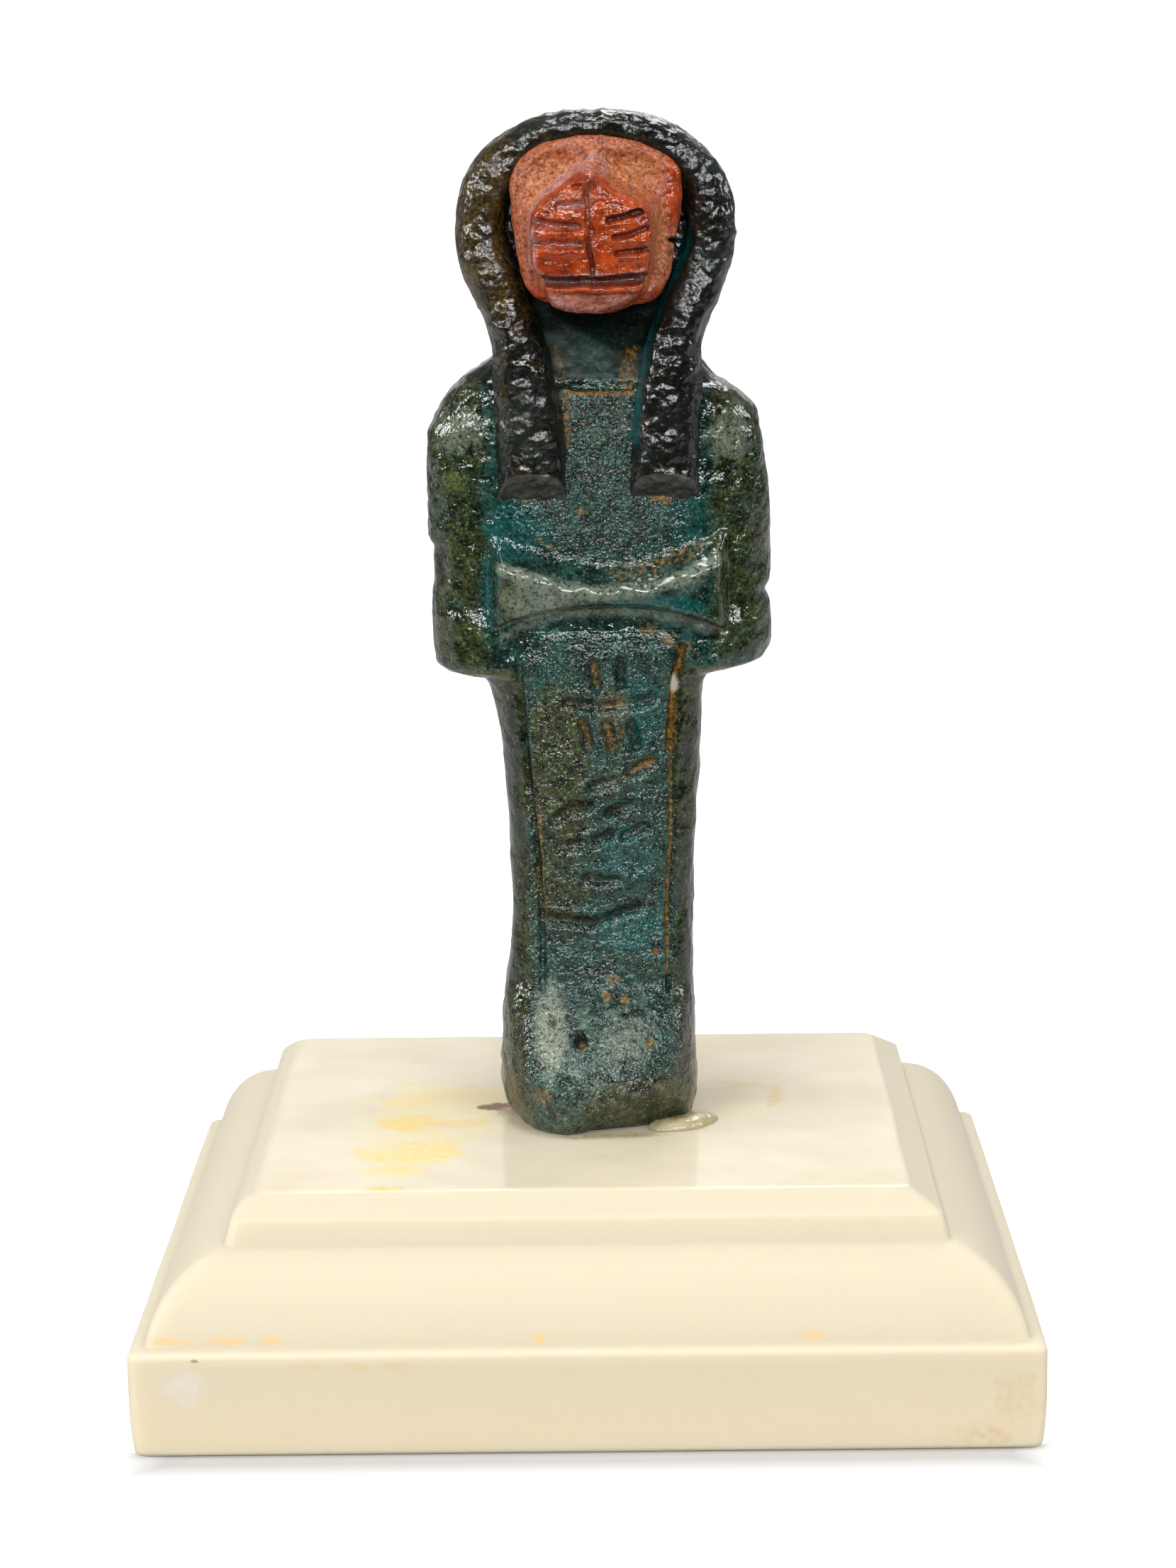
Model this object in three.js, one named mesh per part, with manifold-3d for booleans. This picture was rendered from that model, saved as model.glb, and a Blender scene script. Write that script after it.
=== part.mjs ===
// A mummiform figurine with a lioness's head, pressed from coloured glassy paste and stuck on a square
// plinth of two tiers. Millimetres, +Z up. The figure faces -Y, and the origin is the centre of the
// plinth's underside. Heights on the figure are counted from the plinth's top.
import * as THREE from "three";
import { mergeVertices } from "three/addons/utils/BufferGeometryUtils.js";
import Module from "manifold-3d";

const wasm = await Module();
wasm.setup();

// Plinth
const PLINTH_SIDE = 50;
const PLINTH_HEIGHT = 12.97;
const LOWER_TIER_HEIGHT = 5.9;
const LEDGE = 0.85; // from the lower tier's face to the foot of the ovolo
const OVOLO_TOP = { inset: 4.92, z: 10.39 };
const ARRIS = { inset: 5.32, z: 11.83 }; // top of the upper tier's upright face
const TOP_INSET = 7.13; // from the lower tier's face to the edge of the flat top
const LEFT_ROUND = 2; // the left edge of the top is a quarter round, the other three are chamfers
const CORNER_RADIUS = 0.6;

// Figure
const FIGURE_X = 1; // the figure stands this far right of the plinth's middle
const FIGURE_HEIGHT = 58.8;
const FILM = 0.1; // adhesive under the foot
const FUSED_GAP = 0.12; // between pieces of paste that are fused together
const COLLAR_Z = 43.25; // where the chest ends and the neck is set back
const TONGUE_TOP = 56.4; // the neck runs on as a tongue behind the head

// Folded arms
const ARMS = {
  left: -6.3, right: 7.3, leftBevel: 0.9, rightBevel: 0.2, depth: 6, crest: 31.5, lower: 30.6, upper: 32.5,
};

// Wig
const WIG_MIDDLE = { x: 0.1, z: 51.9 }; // where the roll is widest
const ROLL = { outer: 7.92, inner: 5.05, rise: 6.9, innerRise: 5.1, power: 2.3 };
const LAPPET_END = { z: 38.5, y: -6.2, slant: 0.8 };
const HOOD_BACK = 4.5;
const HOOD_BOTTOM = 41.6;

// Head
const HEAD = { x: 0.15, z: 54.3, half: 4.78, up: 3.15, down: 6.4, back: -4.75, face: -6.5 };
const MUZZLE_FRONT = -10.1;
const HEAD_TAPER = 0.02; // the sides draw in by this share for each millimetre below HEAD.z

const PASTE_GREEN = 0x1d4a45;
const PASTE_BLACK = 0x1b1d17;
const PASTE_RED = 0x9c3a22;
const IVORY = 0xefe6cd;
const ADHESIVE = 0xd9d6bd;

// A smooth curve through [position, value] knots that never swings past a knot.
function through(knots) {
  const last = knots.length - 1;
  const rise = (i) => (knots[i + 1][1] - knots[i][1]) / (knots[i + 1][0] - knots[i][0]);
  const slopes = knots.map((_, i) => {
    if (i === 0) return rise(0);
    if (i === last) return rise(last - 1);
    const before = rise(i - 1);
    const after = rise(i);
    return before * after > 0 ? (2 * before * after) / (before + after) : 0;
  });
  return (position) => {
    const p = THREE.MathUtils.clamp(position, knots[0][0], knots[last][0]);
    let i = 0;
    while (i < last - 1 && p > knots[i + 1][0]) i += 1;
    const width = knots[i + 1][0] - knots[i][0];
    const t = (p - knots[i][0]) / width;
    const ease = t * t * (3 - 2 * t);
    const start = t * (1 - t) * (1 - t) * width * slopes[i];
    const end = t * t * (t - 1) * width * slopes[i + 1];
    return knots[i][1] * (1 - ease) + knots[i + 1][1] * ease + start + end;
  };
}

// Height of a round-shouldered section at the share u of its half-width: 1 in the middle, 0 at the edge.
function shoulder(u, power) {
  return Math.pow(1 - Math.pow(Math.min(Math.abs(u), 1), power), 1 / power);
}

// Cosine or sine of a superellipse.
function squarish(value, power) {
  return Math.sign(value) * Math.pow(Math.abs(value), 2 / power);
}

function closedSolid(geometry) {
  for (const name of Object.keys(geometry.attributes)) {
    if (name !== "position") geometry.deleteAttribute(name);
  }
  const merged = mergeVertices(geometry, 1e-4);
  const made = (triVerts) => new wasm.Manifold(
    new wasm.Mesh({ numProp: 3, vertProperties: merged.attributes.position.array, triVerts }),
  );
  const solid = made(new Uint32Array(merged.index.array));
  return solid.volume() > 0 ? solid : made(new Uint32Array(merged.index.array).reverse());
}

// A closed solid whose skin runs through rings of equally many points, with a fan over each end.
function loft(rings) {
  const around = rings[0].length;
  const positions = rings.flat(2);
  const middleOf = (ring) => [0, 1, 2].map((axis) => ring.reduce((sum, p) => sum + p[axis], 0) / around);
  positions.push(...middleOf(rings[0]), ...middleOf(rings[rings.length - 1]));
  const index = [];
  const firstMiddle = rings.length * around;
  const lastRing = firstMiddle - around;
  for (let j = 0; j < around; j += 1) {
    const next = (j + 1) % around;
    for (let i = 0; i < rings.length - 1; i += 1) {
      const low = i * around;
      const high = low + around;
      index.push(low + j, low + next, high + next, low + j, high + next, high + j);
    }
    index.push(firstMiddle, next, j);
    index.push(firstMiddle + 1, lastRing + j, lastRing + next);
  }
  const geometry = new THREE.BufferGeometry();
  geometry.setAttribute("position", new THREE.Float32BufferAttribute(positions, 3));
  geometry.setIndex(index);
  return closedSolid(geometry);
}

function meshOf(name, solid, color, roughness) {
  const { vertProperties, triVerts } = solid.getMesh();
  const geometry = new THREE.BufferGeometry();
  geometry.setAttribute("position", new THREE.BufferAttribute(vertProperties, 3));
  geometry.setIndex(new THREE.BufferAttribute(triVerts, 1));
  geometry.computeVertexNormals();
  const mesh = new THREE.Mesh(geometry, new THREE.MeshStandardMaterial({ color, roughness }));
  mesh.name = name;
  return mesh;
}

// A square section with rounded corners; the left side can be drawn in differently from the others.
function plinthRing(inset, leftInset, z) {
  const half = PLINTH_SIDE / 2;
  const corners = [
    [half - inset, -half + inset, -90],
    [half - inset, half - inset, 0],
    [-half + leftInset, half - inset, 90],
    [-half + leftInset, -half + inset, 180],
  ];
  const steps = 3;
  return corners.flatMap(([x, y, startAngle]) =>
    Array.from({ length: steps + 1 }, (_, i) => {
      const angle = THREE.MathUtils.degToRad(startAngle + (90 * i) / steps);
      const cx = x - Math.sign(x) * CORNER_RADIUS;
      const cy = y - Math.sign(y) * CORNER_RADIUS;
      return [cx + CORNER_RADIUS * Math.cos(angle), cy + CORNER_RADIUS * Math.sin(angle), z];
    }),
  );
}

function makePlinth() {
  const edge = 0.3; // worn edges of the lower tier
  const rings = [
    plinthRing(edge, edge, 0),
    plinthRing(0, 0, edge),
    plinthRing(0, 0, LOWER_TIER_HEIGHT - edge),
    plinthRing(edge, edge, LOWER_TIER_HEIGHT),
  ];
  // The ovolo is an arc that starts steeply from the ledge and ends nearly level.
  const from = THREE.MathUtils.degToRad(15);
  const to = THREE.MathUtils.degToRad(85);
  const steps = 6;
  for (let i = 0; i <= steps; i += 1) {
    const angle = from + ((to - from) * i) / steps;
    const inward = (Math.cos(from) - Math.cos(angle)) / (Math.cos(from) - Math.cos(to));
    const upward = (Math.sin(angle) - Math.sin(from)) / (Math.sin(to) - Math.sin(from));
    const inset = THREE.MathUtils.lerp(LEDGE, OVOLO_TOP.inset, inward);
    rings.push(plinthRing(inset, inset, THREE.MathUtils.lerp(LOWER_TIER_HEIGHT + 0.05, OVOLO_TOP.z, upward)));
  }
  rings.push(plinthRing(ARRIS.inset, ARRIS.inset, ARRIS.z));
  for (const share of [0.4, 0.75, 1]) {
    const z = THREE.MathUtils.lerp(ARRIS.z, PLINTH_HEIGHT, share);
    const chamfer = THREE.MathUtils.lerp(ARRIS.inset, TOP_INSET, share);
    const height = z - (PLINTH_HEIGHT - LEFT_ROUND);
    rings.push(plinthRing(chamfer, TOP_INSET - Math.sqrt(LEFT_ROUND ** 2 - height ** 2), z));
  }
  return loft(rings);
}

// Outline of the body from the front: distance of its left and right edge from the figure's axis.
const leftEdge = through([
  [0, 5], [1.2, 5.95], [2.4, 6.08], [6, 5.9], [12.5, 5.3], [18, 5.4], [22, 5.7], [25.4, 6.25], [26.3, 6.75],
  [26.75, 8.9], [27.3, 9.5], [28.5, 9.62], [36, 9.8], [40.4, 9.75], [41.4, 9.35], [42.6, 8.7], [43.5, 7.8],
  [44.4, 6.4], [45.2, 5.2], [46.4, 4.1], [54.5, 4], [55.8, 3.3], [TONGUE_TOP, 2.4],
]);
const rightEdge = through([
  [0, 5], [1.2, 5.4], [2.4, 5.52], [6, 5.45], [12.5, 5.38], [18, 5.6], [22, 5.85], [25.4, 6.1], [26.3, 6.45],
  [26.75, 8.2], [27.3, 9.6], [28.5, 10], [36, 10], [40.4, 9.5], [41.4, 9.35], [42.6, 8.35], [43.5, 6.8],
  [44.4, 6], [45.2, 5.2], [46.4, 4.3], [54.5, 4.2], [55.8, 3.5], [TONGUE_TOP, 2.4],
]);
// Side view of the body: how far its middle stands out in front and at the back.
const frontDepth = through([
  [0, 6.9], [1, 7.35], [2.6, 7.55], [4.6, 7.1], [6.6, 5.5], [7.8, 4.1], [8.6, 3.7], [12, 3.6], [20, 3.8],
  [26, 4], [30, 4.3], [36, 4.6], [40, 4.65], [COLLAR_Z - 0.1, 4.4], [COLLAR_Z + 0.2, 3.9], [46.5, 3.9],
  [47.6, 4.6], [TONGUE_TOP, 4.6],
]);
const backDepth = through([
  [0, 3.4], [2, 3.8], [10, 3.3], [24, 3.5], [27, 4], [36, 4.4], [42, 4.2], [44.4, 3.4], [46, 1.5],
  [47, 0.8], [TONGUE_TOP, 0.6],
]);
// Roundness of the front: the foot is round in plan, the legs and chest are flatter, the tongue is square.
const frontPower = through([[0, 2.6], [5, 2.7], [9, 3.4], [25, 3.4], [28, 3.8], [43, 3.6], [48, 6]]);
const BACK_POWER = 3;

const BODY_LEVELS = [
  FILM, 0.6, 1.4, 2.6, 4.2, 5.6, 6.8, 7.7, 8.6, 10, 12, 14, 16, 18, 20, 22, 24, 25.4, 26.1, 26.5, 26.75, 27.3,
  28.5, 30.5, 33, 36, 38.5, 40.4, 41.4, 42, 42.6, COLLAR_Z - 0.1, COLLAR_Z + 0.2, 43.9, 44.4, 45.2, 46.4,
  47.6, 50, 54.5, 55.3, 55.9, TONGUE_TOP,
];

// y of the body's front skin, before the arms and cuts are added.
function frontSkin(x, z) {
  const left = leftEdge(z);
  const right = rightEdge(z);
  return -frontDepth(z) * shoulder((2 * x + left - right) / (left + right), frontPower(z));
}

// The body's skin, with everything moved outwards by grow.
function bodySkin(grow) {
  const frontSteps = 18;
  const backSteps = 12;
  const rings = BODY_LEVELS.map((level, i) => {
    const lift = i === 0 ? -grow : i === BODY_LEVELS.length - 1 ? grow : 0;
    const left = leftEdge(level) + grow;
    const right = rightEdge(level) + grow;
    const across = (u) => (right - left) / 2 + (u * (right + left)) / 2;
    const ring = [];
    for (let j = 0; j <= frontSteps; j += 1) {
      const u = Math.sin(Math.PI * (j / frontSteps - 0.5));
      ring.push([across(u), -(frontDepth(level) + grow) * shoulder(u, frontPower(level)), level + lift]);
    }
    for (let j = 1; j < backSteps; j += 1) {
      const u = Math.sin(Math.PI * (0.5 - j / backSteps));
      ring.push([across(u), (backDepth(level) + grow) * shoulder(u, BACK_POWER), level + lift]);
    }
    return ring;
  });
  return loft(rings);
}

// The two forearms meet in the middle of the chest as one raised band, shaped like a bow tie.
function makeArms() {
  const inside = 2.5; // the band's root, deep in the chest
  const stations = 16;
  const rings = Array.from({ length: stations + 1 }, (_, i) => {
    const along = (2 * i) / stations - 1;
    const u = Math.abs(along);
    const x = THREE.MathUtils.lerp(ARMS.left, ARMS.right, i / stations);
    // The band's face ends short of its root, more so on the left.
    const face = x + (along < 0 ? ARMS.leftBevel : -ARMS.rightBevel) * Math.pow(u, 10);
    const ridge = ARMS.depth - 0.35 * (1 - u) - 0.3 * Math.pow(u, 12);
    const crest = ARMS.crest + 2.1 * Math.pow(u, 1.6);
    const lower = ARMS.lower - 1.3 * Math.pow(u, 2.5);
    const upper = ARMS.upper + 1.8 * Math.pow(u, 1.4);
    return [
      [x, -inside, upper],
      [x, frontSkin(x, upper) - 0.02, upper],
      [face, -ridge, crest],
      [face, -ridge + 0.3, lower + 0.2],
      [x, frontSkin(x, lower) - 0.1, lower],
      [x, -inside, lower],
    ];
  });
  return loft(rings);
}

// A cutter for a shallow groove that follows a run of [x, z] points on the body's front.
function grooveCutter(points, width, depth, skin) {
  const curve = new THREE.CatmullRomCurve3(points.map(([x, z]) => new THREE.Vector3(x, 0, z)));
  const steps = points.length === 2 ? 2 : 3 * (points.length - 1);
  const rings = Array.from({ length: steps + 1 }, (_, i) => {
    const at = curve.getPoint(i / steps);
    const along = curve.getTangent(i / steps);
    const taper = i === 0 || i === steps ? 0.45 : 1;
    const half = (width * taper) / 2;
    const y = skin(at.x, at.z);
    return [[-1, -0.5], [1, -0.5], [0.45, depth * taper], [-0.45, depth * taper]].map(([side, deep]) => [
      at.x + side * half * along.z,
      y + deep,
      at.z - side * half * along.x,
    ]);
  });
  return loft(rings);
}

// Lines that frame the panel down the legs, and the short strokes in rows where the panel was inscribed.
const PANEL_LINES = [
  { points: [[-4.65, 27.3], [-4.2, 20.6], [-3.75, 16.4], [-3.48, 12.2], [-3.5, 8]], width: 0.45, depth: 0.3 },
  { points: [[4.55, 27.5], [4.2, 21], [4.03, 16.3], [3.87, 12.1], [3.87, 8]], width: 0.5, depth: 0.35 },
  { points: [[-1.3, COLLAR_Z], [0.4, COLLAR_Z - 0.08], [2, COLLAR_Z]], width: 0.4, depth: 0.35 },
];
const STROKES = [
  [[-0.3, 27.3], [-0.1, 26]],
  [[1.2, 27.4], [1.3, 26.1]],
  [[-1.8, 25.1], [-0.4, 24.9]],
  [[0.2, 24.8], [1.5, 25]],
  [[2, 25], [3, 25.3]],
  [[-1, 23.8], [-0.6, 22.5]],
  [[0.4, 23.7], [0.8, 22.4]],
  [[1.8, 23.8], [2.2, 22.5]],
  [[1.7, 20.9], [3, 21.6]],
  [[-0.5, 20.1], [0.8, 20.4]],
  [[-2.6, 18.2], [-1.7, 18.9], [-0.6, 19]],
  [[0.5, 18.6], [1.9, 19.1]],
  [[-2.3, 16.6], [-1.1, 16.7]],
  [[-0.3, 17], [0.6, 17.3]],
  [[1.4, 17.2], [2.5, 17.7]],
  [[-0.9, 14.6], [0.9, 14.5]],
  [[-2.9, 12.3], [-0.6, 12], [2.2, 13]],
];
const STROKE = { width: 0.7, depth: 0.5 };

// The toe is broken: a half space whose face leans from the sole's left to its right is cut away.
function toeBreak() {
  const soleLeft = new THREE.Vector3(-3, -7, FILM);
  const soleRight = new THREE.Vector3(5, -3.4, FILM);
  const toe = new THREE.Vector3(0.8, -7.6, 2.3);
  const plane = new THREE.Plane().setFromCoplanarPoints(soleLeft, soleRight, toe);
  if (plane.normal.z > 0) plane.negate();
  const size = 12;
  const box = new THREE.BoxGeometry(size, size, size).translate(0, 0, size / 2);
  box.applyQuaternion(new THREE.Quaternion().setFromUnitVectors(new THREE.Vector3(0, 0, 1), plane.normal));
  box.translate(soleLeft.x, soleLeft.y, soleLeft.z);
  return closedSolid(box);
}

function makeBody() {
  let body = bodySkin(0).add(makeArms()).subtract(toeBreak());
  for (const { points, width, depth } of PANEL_LINES) {
    body = body.subtract(grooveCutter(points, width, depth, frontSkin));
  }
  for (const points of STROKES) {
    body = body.subtract(grooveCutter(points, STROKE.width, STROKE.depth, frontSkin));
  }
  return body;
}

// Outline of the head from the front: square above, drawn in towards the jaw.
function headOutline(angle, grow) {
  const c = Math.cos(angle);
  const s = Math.sin(angle);
  const power = s > 0 ? 2.6 : 4;
  const z = HEAD.z + (s > 0 ? HEAD.up + grow : HEAD.down + grow) * squarish(s, power);
  const taper = 1 - HEAD_TAPER * Math.max(HEAD.z - z, 0);
  return [HEAD.x + (HEAD.half + grow) * taper * squarish(c, power), z];
}

// Outline of the muzzle's front: a shield with its point at the nose and the chin below.
const MUZZLE_OUTLINE = new THREE.CatmullRomCurve3(
  [
    [2.95, 53.5], [1.2, 54.6], [0, 55.5], [-1.3, 55], [-3.2, 53.4], [-3.55, 51.6], [-3.35, 49.9],
    [-2.75, 48.5], [-1.4, 47.85], [0.1, 47.7], [1.6, 47.85], [2.75, 48.5], [3.15, 49.9], [3.2, 52],
  ].map(([x, z]) => new THREE.Vector3(x, 0, z)),
  true,
  "catmullrom",
  0.4,
);
const MUZZLE_MIDDLE = new THREE.Vector3(-0.15, 0, 51.4);

const HEAD_AROUND = 44;

// The muzzle's outline, scaled about its middle, at a depth y.
function muzzleRing(scale, y, raise) {
  return Array.from({ length: HEAD_AROUND }, (_, j) => {
    const p = MUZZLE_OUTLINE.getPoint(j / HEAD_AROUND).sub(MUZZLE_MIDDLE).multiplyScalar(scale);
    const lift = Math.max(p.z, 0) * raise;
    return [p.x + MUZZLE_MIDDLE.x, y, p.z + MUZZLE_MIDDLE.z + lift];
  });
}

function headBlock(grow) {
  const start = Math.PI / 9; // where the muzzle's outline starts too
  const edge = 0.4; // rounding of the block's back and front edges
  const block = (shrink, y) => Array.from({ length: HEAD_AROUND }, (_, j) => {
    const [x, z] = headOutline(start + (2 * Math.PI * j) / HEAD_AROUND, grow - shrink);
    return [x, y, z];
  });
  return [
    block(edge, HEAD.back + grow),
    block(0, HEAD.back - edge),
    block(0, HEAD.face + edge),
    block(edge, HEAD.face),
  ];
}

// The muzzle stands out from a face that is sunk round it, and its top slopes up to the forehead.
function makeHead() {
  const sunk = 0.35;
  const rings = [
    ...headBlock(0),
    muzzleRing(1.06, HEAD.face + sunk, 0.2),
    muzzleRing(1, MUZZLE_FRONT + 1.8, 0.1),
    muzzleRing(0.98, MUZZLE_FRONT + 0.6, 0),
    muzzleRing(0.86, MUZZLE_FRONT + 0.1, 0),
    muzzleRing(0.45, MUZZLE_FRONT - 0.15, 0),
  ];
  const front = () => MUZZLE_FRONT;
  let head = loft(rings);
  const cuts = [
    { points: [[-3.9, 49.8], [-1.2, 49.55], [1, 49.55], [3.6, 49.8]], width: 0.6, depth: 0.7 },
    { points: [[-0.25, 54.7], [-0.15, 52.5], [0, 50]], width: 0.35, depth: 0.3 },
  ];
  // Three whisker grooves on each cheek, 1 mm apart.
  for (const row of [0, 1, 2]) {
    cuts.push({ points: [[-3.2, 53.7 - row], [-0.9, 53.65 - row]], width: 0.35, depth: 0.3 });
    cuts.push({ points: [[0.9, 52.95 - row], [2.9, 53.35 - row]], width: 0.35, depth: 0.3 });
  }
  for (const { points, width, depth } of cuts) {
    head = head.subtract(grooveCutter(points, width, depth, front));
  }
  return head;
}

// Edges of the wig's band at the front, from the ends of the lappets up to the roll's widest level.
const bandOuter = through([
  [34, 5.7], [44, 5.85], [45.6, 5.95], [47.2, 6.4], [48.6, 7], [WIG_MIDDLE.z, ROLL.outer],
]);
const bandInner = through([
  [34, 1.5], [41, 1.95], [45, 2.68], [49, 3.9], [50.5, 4.6], [WIG_MIDDLE.z, ROLL.inner],
]);
const bandFront = through([[34, 6.2], [45, 6.3], [49, 5.9], [WIG_MIDDLE.z, 5.6], [FIGURE_HEIGHT, 5.5]]);
const BAND_BACK = 1.4;

// The roll round the face and the two lappets are one band, carried up one side and down the other.
function makeBand() {
  const lappetLevels = [LAPPET_END.z, 40, 42, 44, 45.4, 47, 48.6, 50.2];
  const archSteps = 18;
  const onSide = (side) => (z) => ({
    outer: [WIG_MIDDLE.x + side * bandOuter(z), z],
    inner: [WIG_MIDDLE.x + side * bandInner(z), z],
  });
  const arch = Array.from({ length: archSteps + 1 }, (_, i) => {
    const angle = Math.PI * (1 - i / archSteps);
    const c = squarish(Math.cos(angle), ROLL.power);
    const s = squarish(Math.sin(angle), ROLL.power);
    return {
      outer: [WIG_MIDDLE.x + ROLL.outer * c, WIG_MIDDLE.z + ROLL.rise * s],
      inner: [WIG_MIDDLE.x + ROLL.inner * c, WIG_MIDDLE.z + ROLL.innerRise * s],
    };
  });
  const stations = [
    ...lappetLevels.map(onSide(-1)),
    ...arch,
    ...[...lappetLevels].reverse().map(onSide(1)),
  ];
  const around = 14;
  const rings = stations.map(({ outer, inner }, i) => {
    const front = bandFront(outer[1]);
    const halfDepth = (front - BAND_BACK) / 2;
    const atEnd = i === 0 || i === stations.length - 1;
    return Array.from({ length: around }, (_, j) => {
      const angle = (2 * Math.PI * j) / around;
      const share = (1 + squarish(Math.cos(angle), 2.6)) / 2;
      const y = -BAND_BACK - halfDepth + halfDepth * squarish(Math.sin(angle), 2.6);
      const z = THREE.MathUtils.lerp(inner[1], outer[1], share);
      const slant = atEnd ? LAPPET_END.slant * (LAPPET_END.y - y) : 0;
      return [THREE.MathUtils.lerp(inner[0], outer[0], share), y, z + slant];
    });
  });
  return loft(rings);
}

// The back of the wig: a smooth dome over the back of the head, ending square between the shoulders.
function makeHood() {
  const levels = [HOOD_BOTTOM, 43, 44.4, 46, 48, 50, WIG_MIDDLE.z, 53.4, 54.8, 56, 57, 57.8, 58.3, 58.6];
  const half = (z) => {
    if (z <= WIG_MIDDLE.z) return bandOuter(z) - 0.3;
    return (ROLL.outer - 0.3) * shoulder((z - WIG_MIDDLE.z) / (ROLL.rise - 0.1), ROLL.power);
  };
  const back = through([[HOOD_BOTTOM, 4.95], [44.4, 4.7], [48, HOOD_BACK], [54, 3.9], [57, 2], [58.6, -0.6]]);
  const front = -2.8;
  const steps = 14;
  const rings = levels.map((z) => {
    const reach = back(z) - front;
    const ring = Array.from({ length: steps + 1 }, (_, j) => {
      const u = Math.sin(Math.PI * (0.5 - j / steps));
      return [WIG_MIDDLE.x + half(z) * u, front + reach * shoulder(u, 2.8), z];
    });
    ring.push([WIG_MIDDLE.x, front - 0.01, z]);
    return ring;
  });
  return loft(rings);
}

function makeWig() {
  const socket = loft(headBlock(2 * FUSED_GAP));
  return makeBand().add(makeHood()).subtract(bodySkin(FUSED_GAP)).subtract(socket);
}

// Adhesive that was squeezed out under the broken toe: a low mound along the break.
function makeAdhesiveBead() {
  const middle = new THREE.Vector2(3.8, -4.7);
  const turn = Math.atan2(4.3, 5.7);
  const around = 20;
  const rings = [[1, FILM], [0.97, 0.3], [0.85, 0.52], [0.6, 0.68], [0.25, 0.75]].map(([scale, z]) =>
    Array.from({ length: around }, (_, j) => {
      const angle = (2 * Math.PI * j) / around;
      const p = new THREE.Vector2(3.7 * scale * Math.cos(angle), 1.4 * scale * Math.sin(angle));
      p.rotateAround(new THREE.Vector2(), turn).add(middle);
      return [p.x, p.y, z];
    }),
  );
  return loft(rings).subtract(bodySkin(FUSED_GAP).subtract(toeBreak()));
}

const group = new THREE.Group();
group.add(meshOf("plinth", makePlinth(), IVORY, 0.35));

const figure = new THREE.Group();
figure.position.set(FIGURE_X, 0, PLINTH_HEIGHT);
figure.add(meshOf("body", makeBody(), PASTE_GREEN, 0.4));
figure.add(meshOf("wig", makeWig(), PASTE_BLACK, 0.3));
figure.add(meshOf("head", makeHead(), PASTE_RED, 0.45));
figure.add(meshOf("adhesive_bead", makeAdhesiveBead(), ADHESIVE, 0.2));
group.add(figure);

export default group;
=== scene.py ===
import bpy
import mathutils
import numpy as np
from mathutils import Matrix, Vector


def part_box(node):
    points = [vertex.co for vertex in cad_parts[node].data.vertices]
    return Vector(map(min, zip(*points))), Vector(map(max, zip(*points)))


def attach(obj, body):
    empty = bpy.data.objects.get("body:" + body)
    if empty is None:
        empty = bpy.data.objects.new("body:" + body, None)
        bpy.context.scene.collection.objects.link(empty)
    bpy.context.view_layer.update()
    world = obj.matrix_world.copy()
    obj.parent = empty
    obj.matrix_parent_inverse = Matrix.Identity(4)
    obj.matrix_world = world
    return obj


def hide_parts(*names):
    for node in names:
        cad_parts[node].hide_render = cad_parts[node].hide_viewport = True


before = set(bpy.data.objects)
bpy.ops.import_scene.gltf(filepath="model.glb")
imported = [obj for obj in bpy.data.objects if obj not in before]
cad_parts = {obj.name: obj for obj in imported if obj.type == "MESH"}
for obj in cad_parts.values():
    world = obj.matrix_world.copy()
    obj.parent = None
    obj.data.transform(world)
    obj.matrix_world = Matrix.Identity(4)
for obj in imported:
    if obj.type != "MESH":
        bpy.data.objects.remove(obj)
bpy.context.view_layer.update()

# The plinth: one block of cream, ivory-like material in two tiers. A square slab carries an ovolo and a small
# upper tier with a flat top. It was cut, polished by hand and stained by adhesive round the figure's foot.
MM = 0.001
plinth_low, plinth_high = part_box("plinth")
PLINTH_SIDE = (plinth_high.x - plinth_low.x) / MM
PLINTH_TOP = plinth_high.z / MM
LOWER_TIER_HEIGHT = 5.9
WORN_EDGE = 0.35
LEDGE = 0.85
OVOLO_INSET, OVOLO_HEIGHT = 4.92, 10.39
ARRIS_INSET, ARRIS_HEIGHT = 5.32, 11.83
TOP_INSET = 7.13
LEFT_ROUND = 2.0
CORNER_RADIUS = 0.6


def quarter(steps):
    """Angles of a quarter turn, both ends included."""
    return np.linspace(0, np.pi / 2, steps)


def run(*ends, steps):
    """A straight run between rows of end values, without its last point."""
    share = np.linspace(0, 1, steps, endpoint=False)[:, None]
    start, end = (np.array(values, float) for values in ends)
    return start + (end - start) * share


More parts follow.
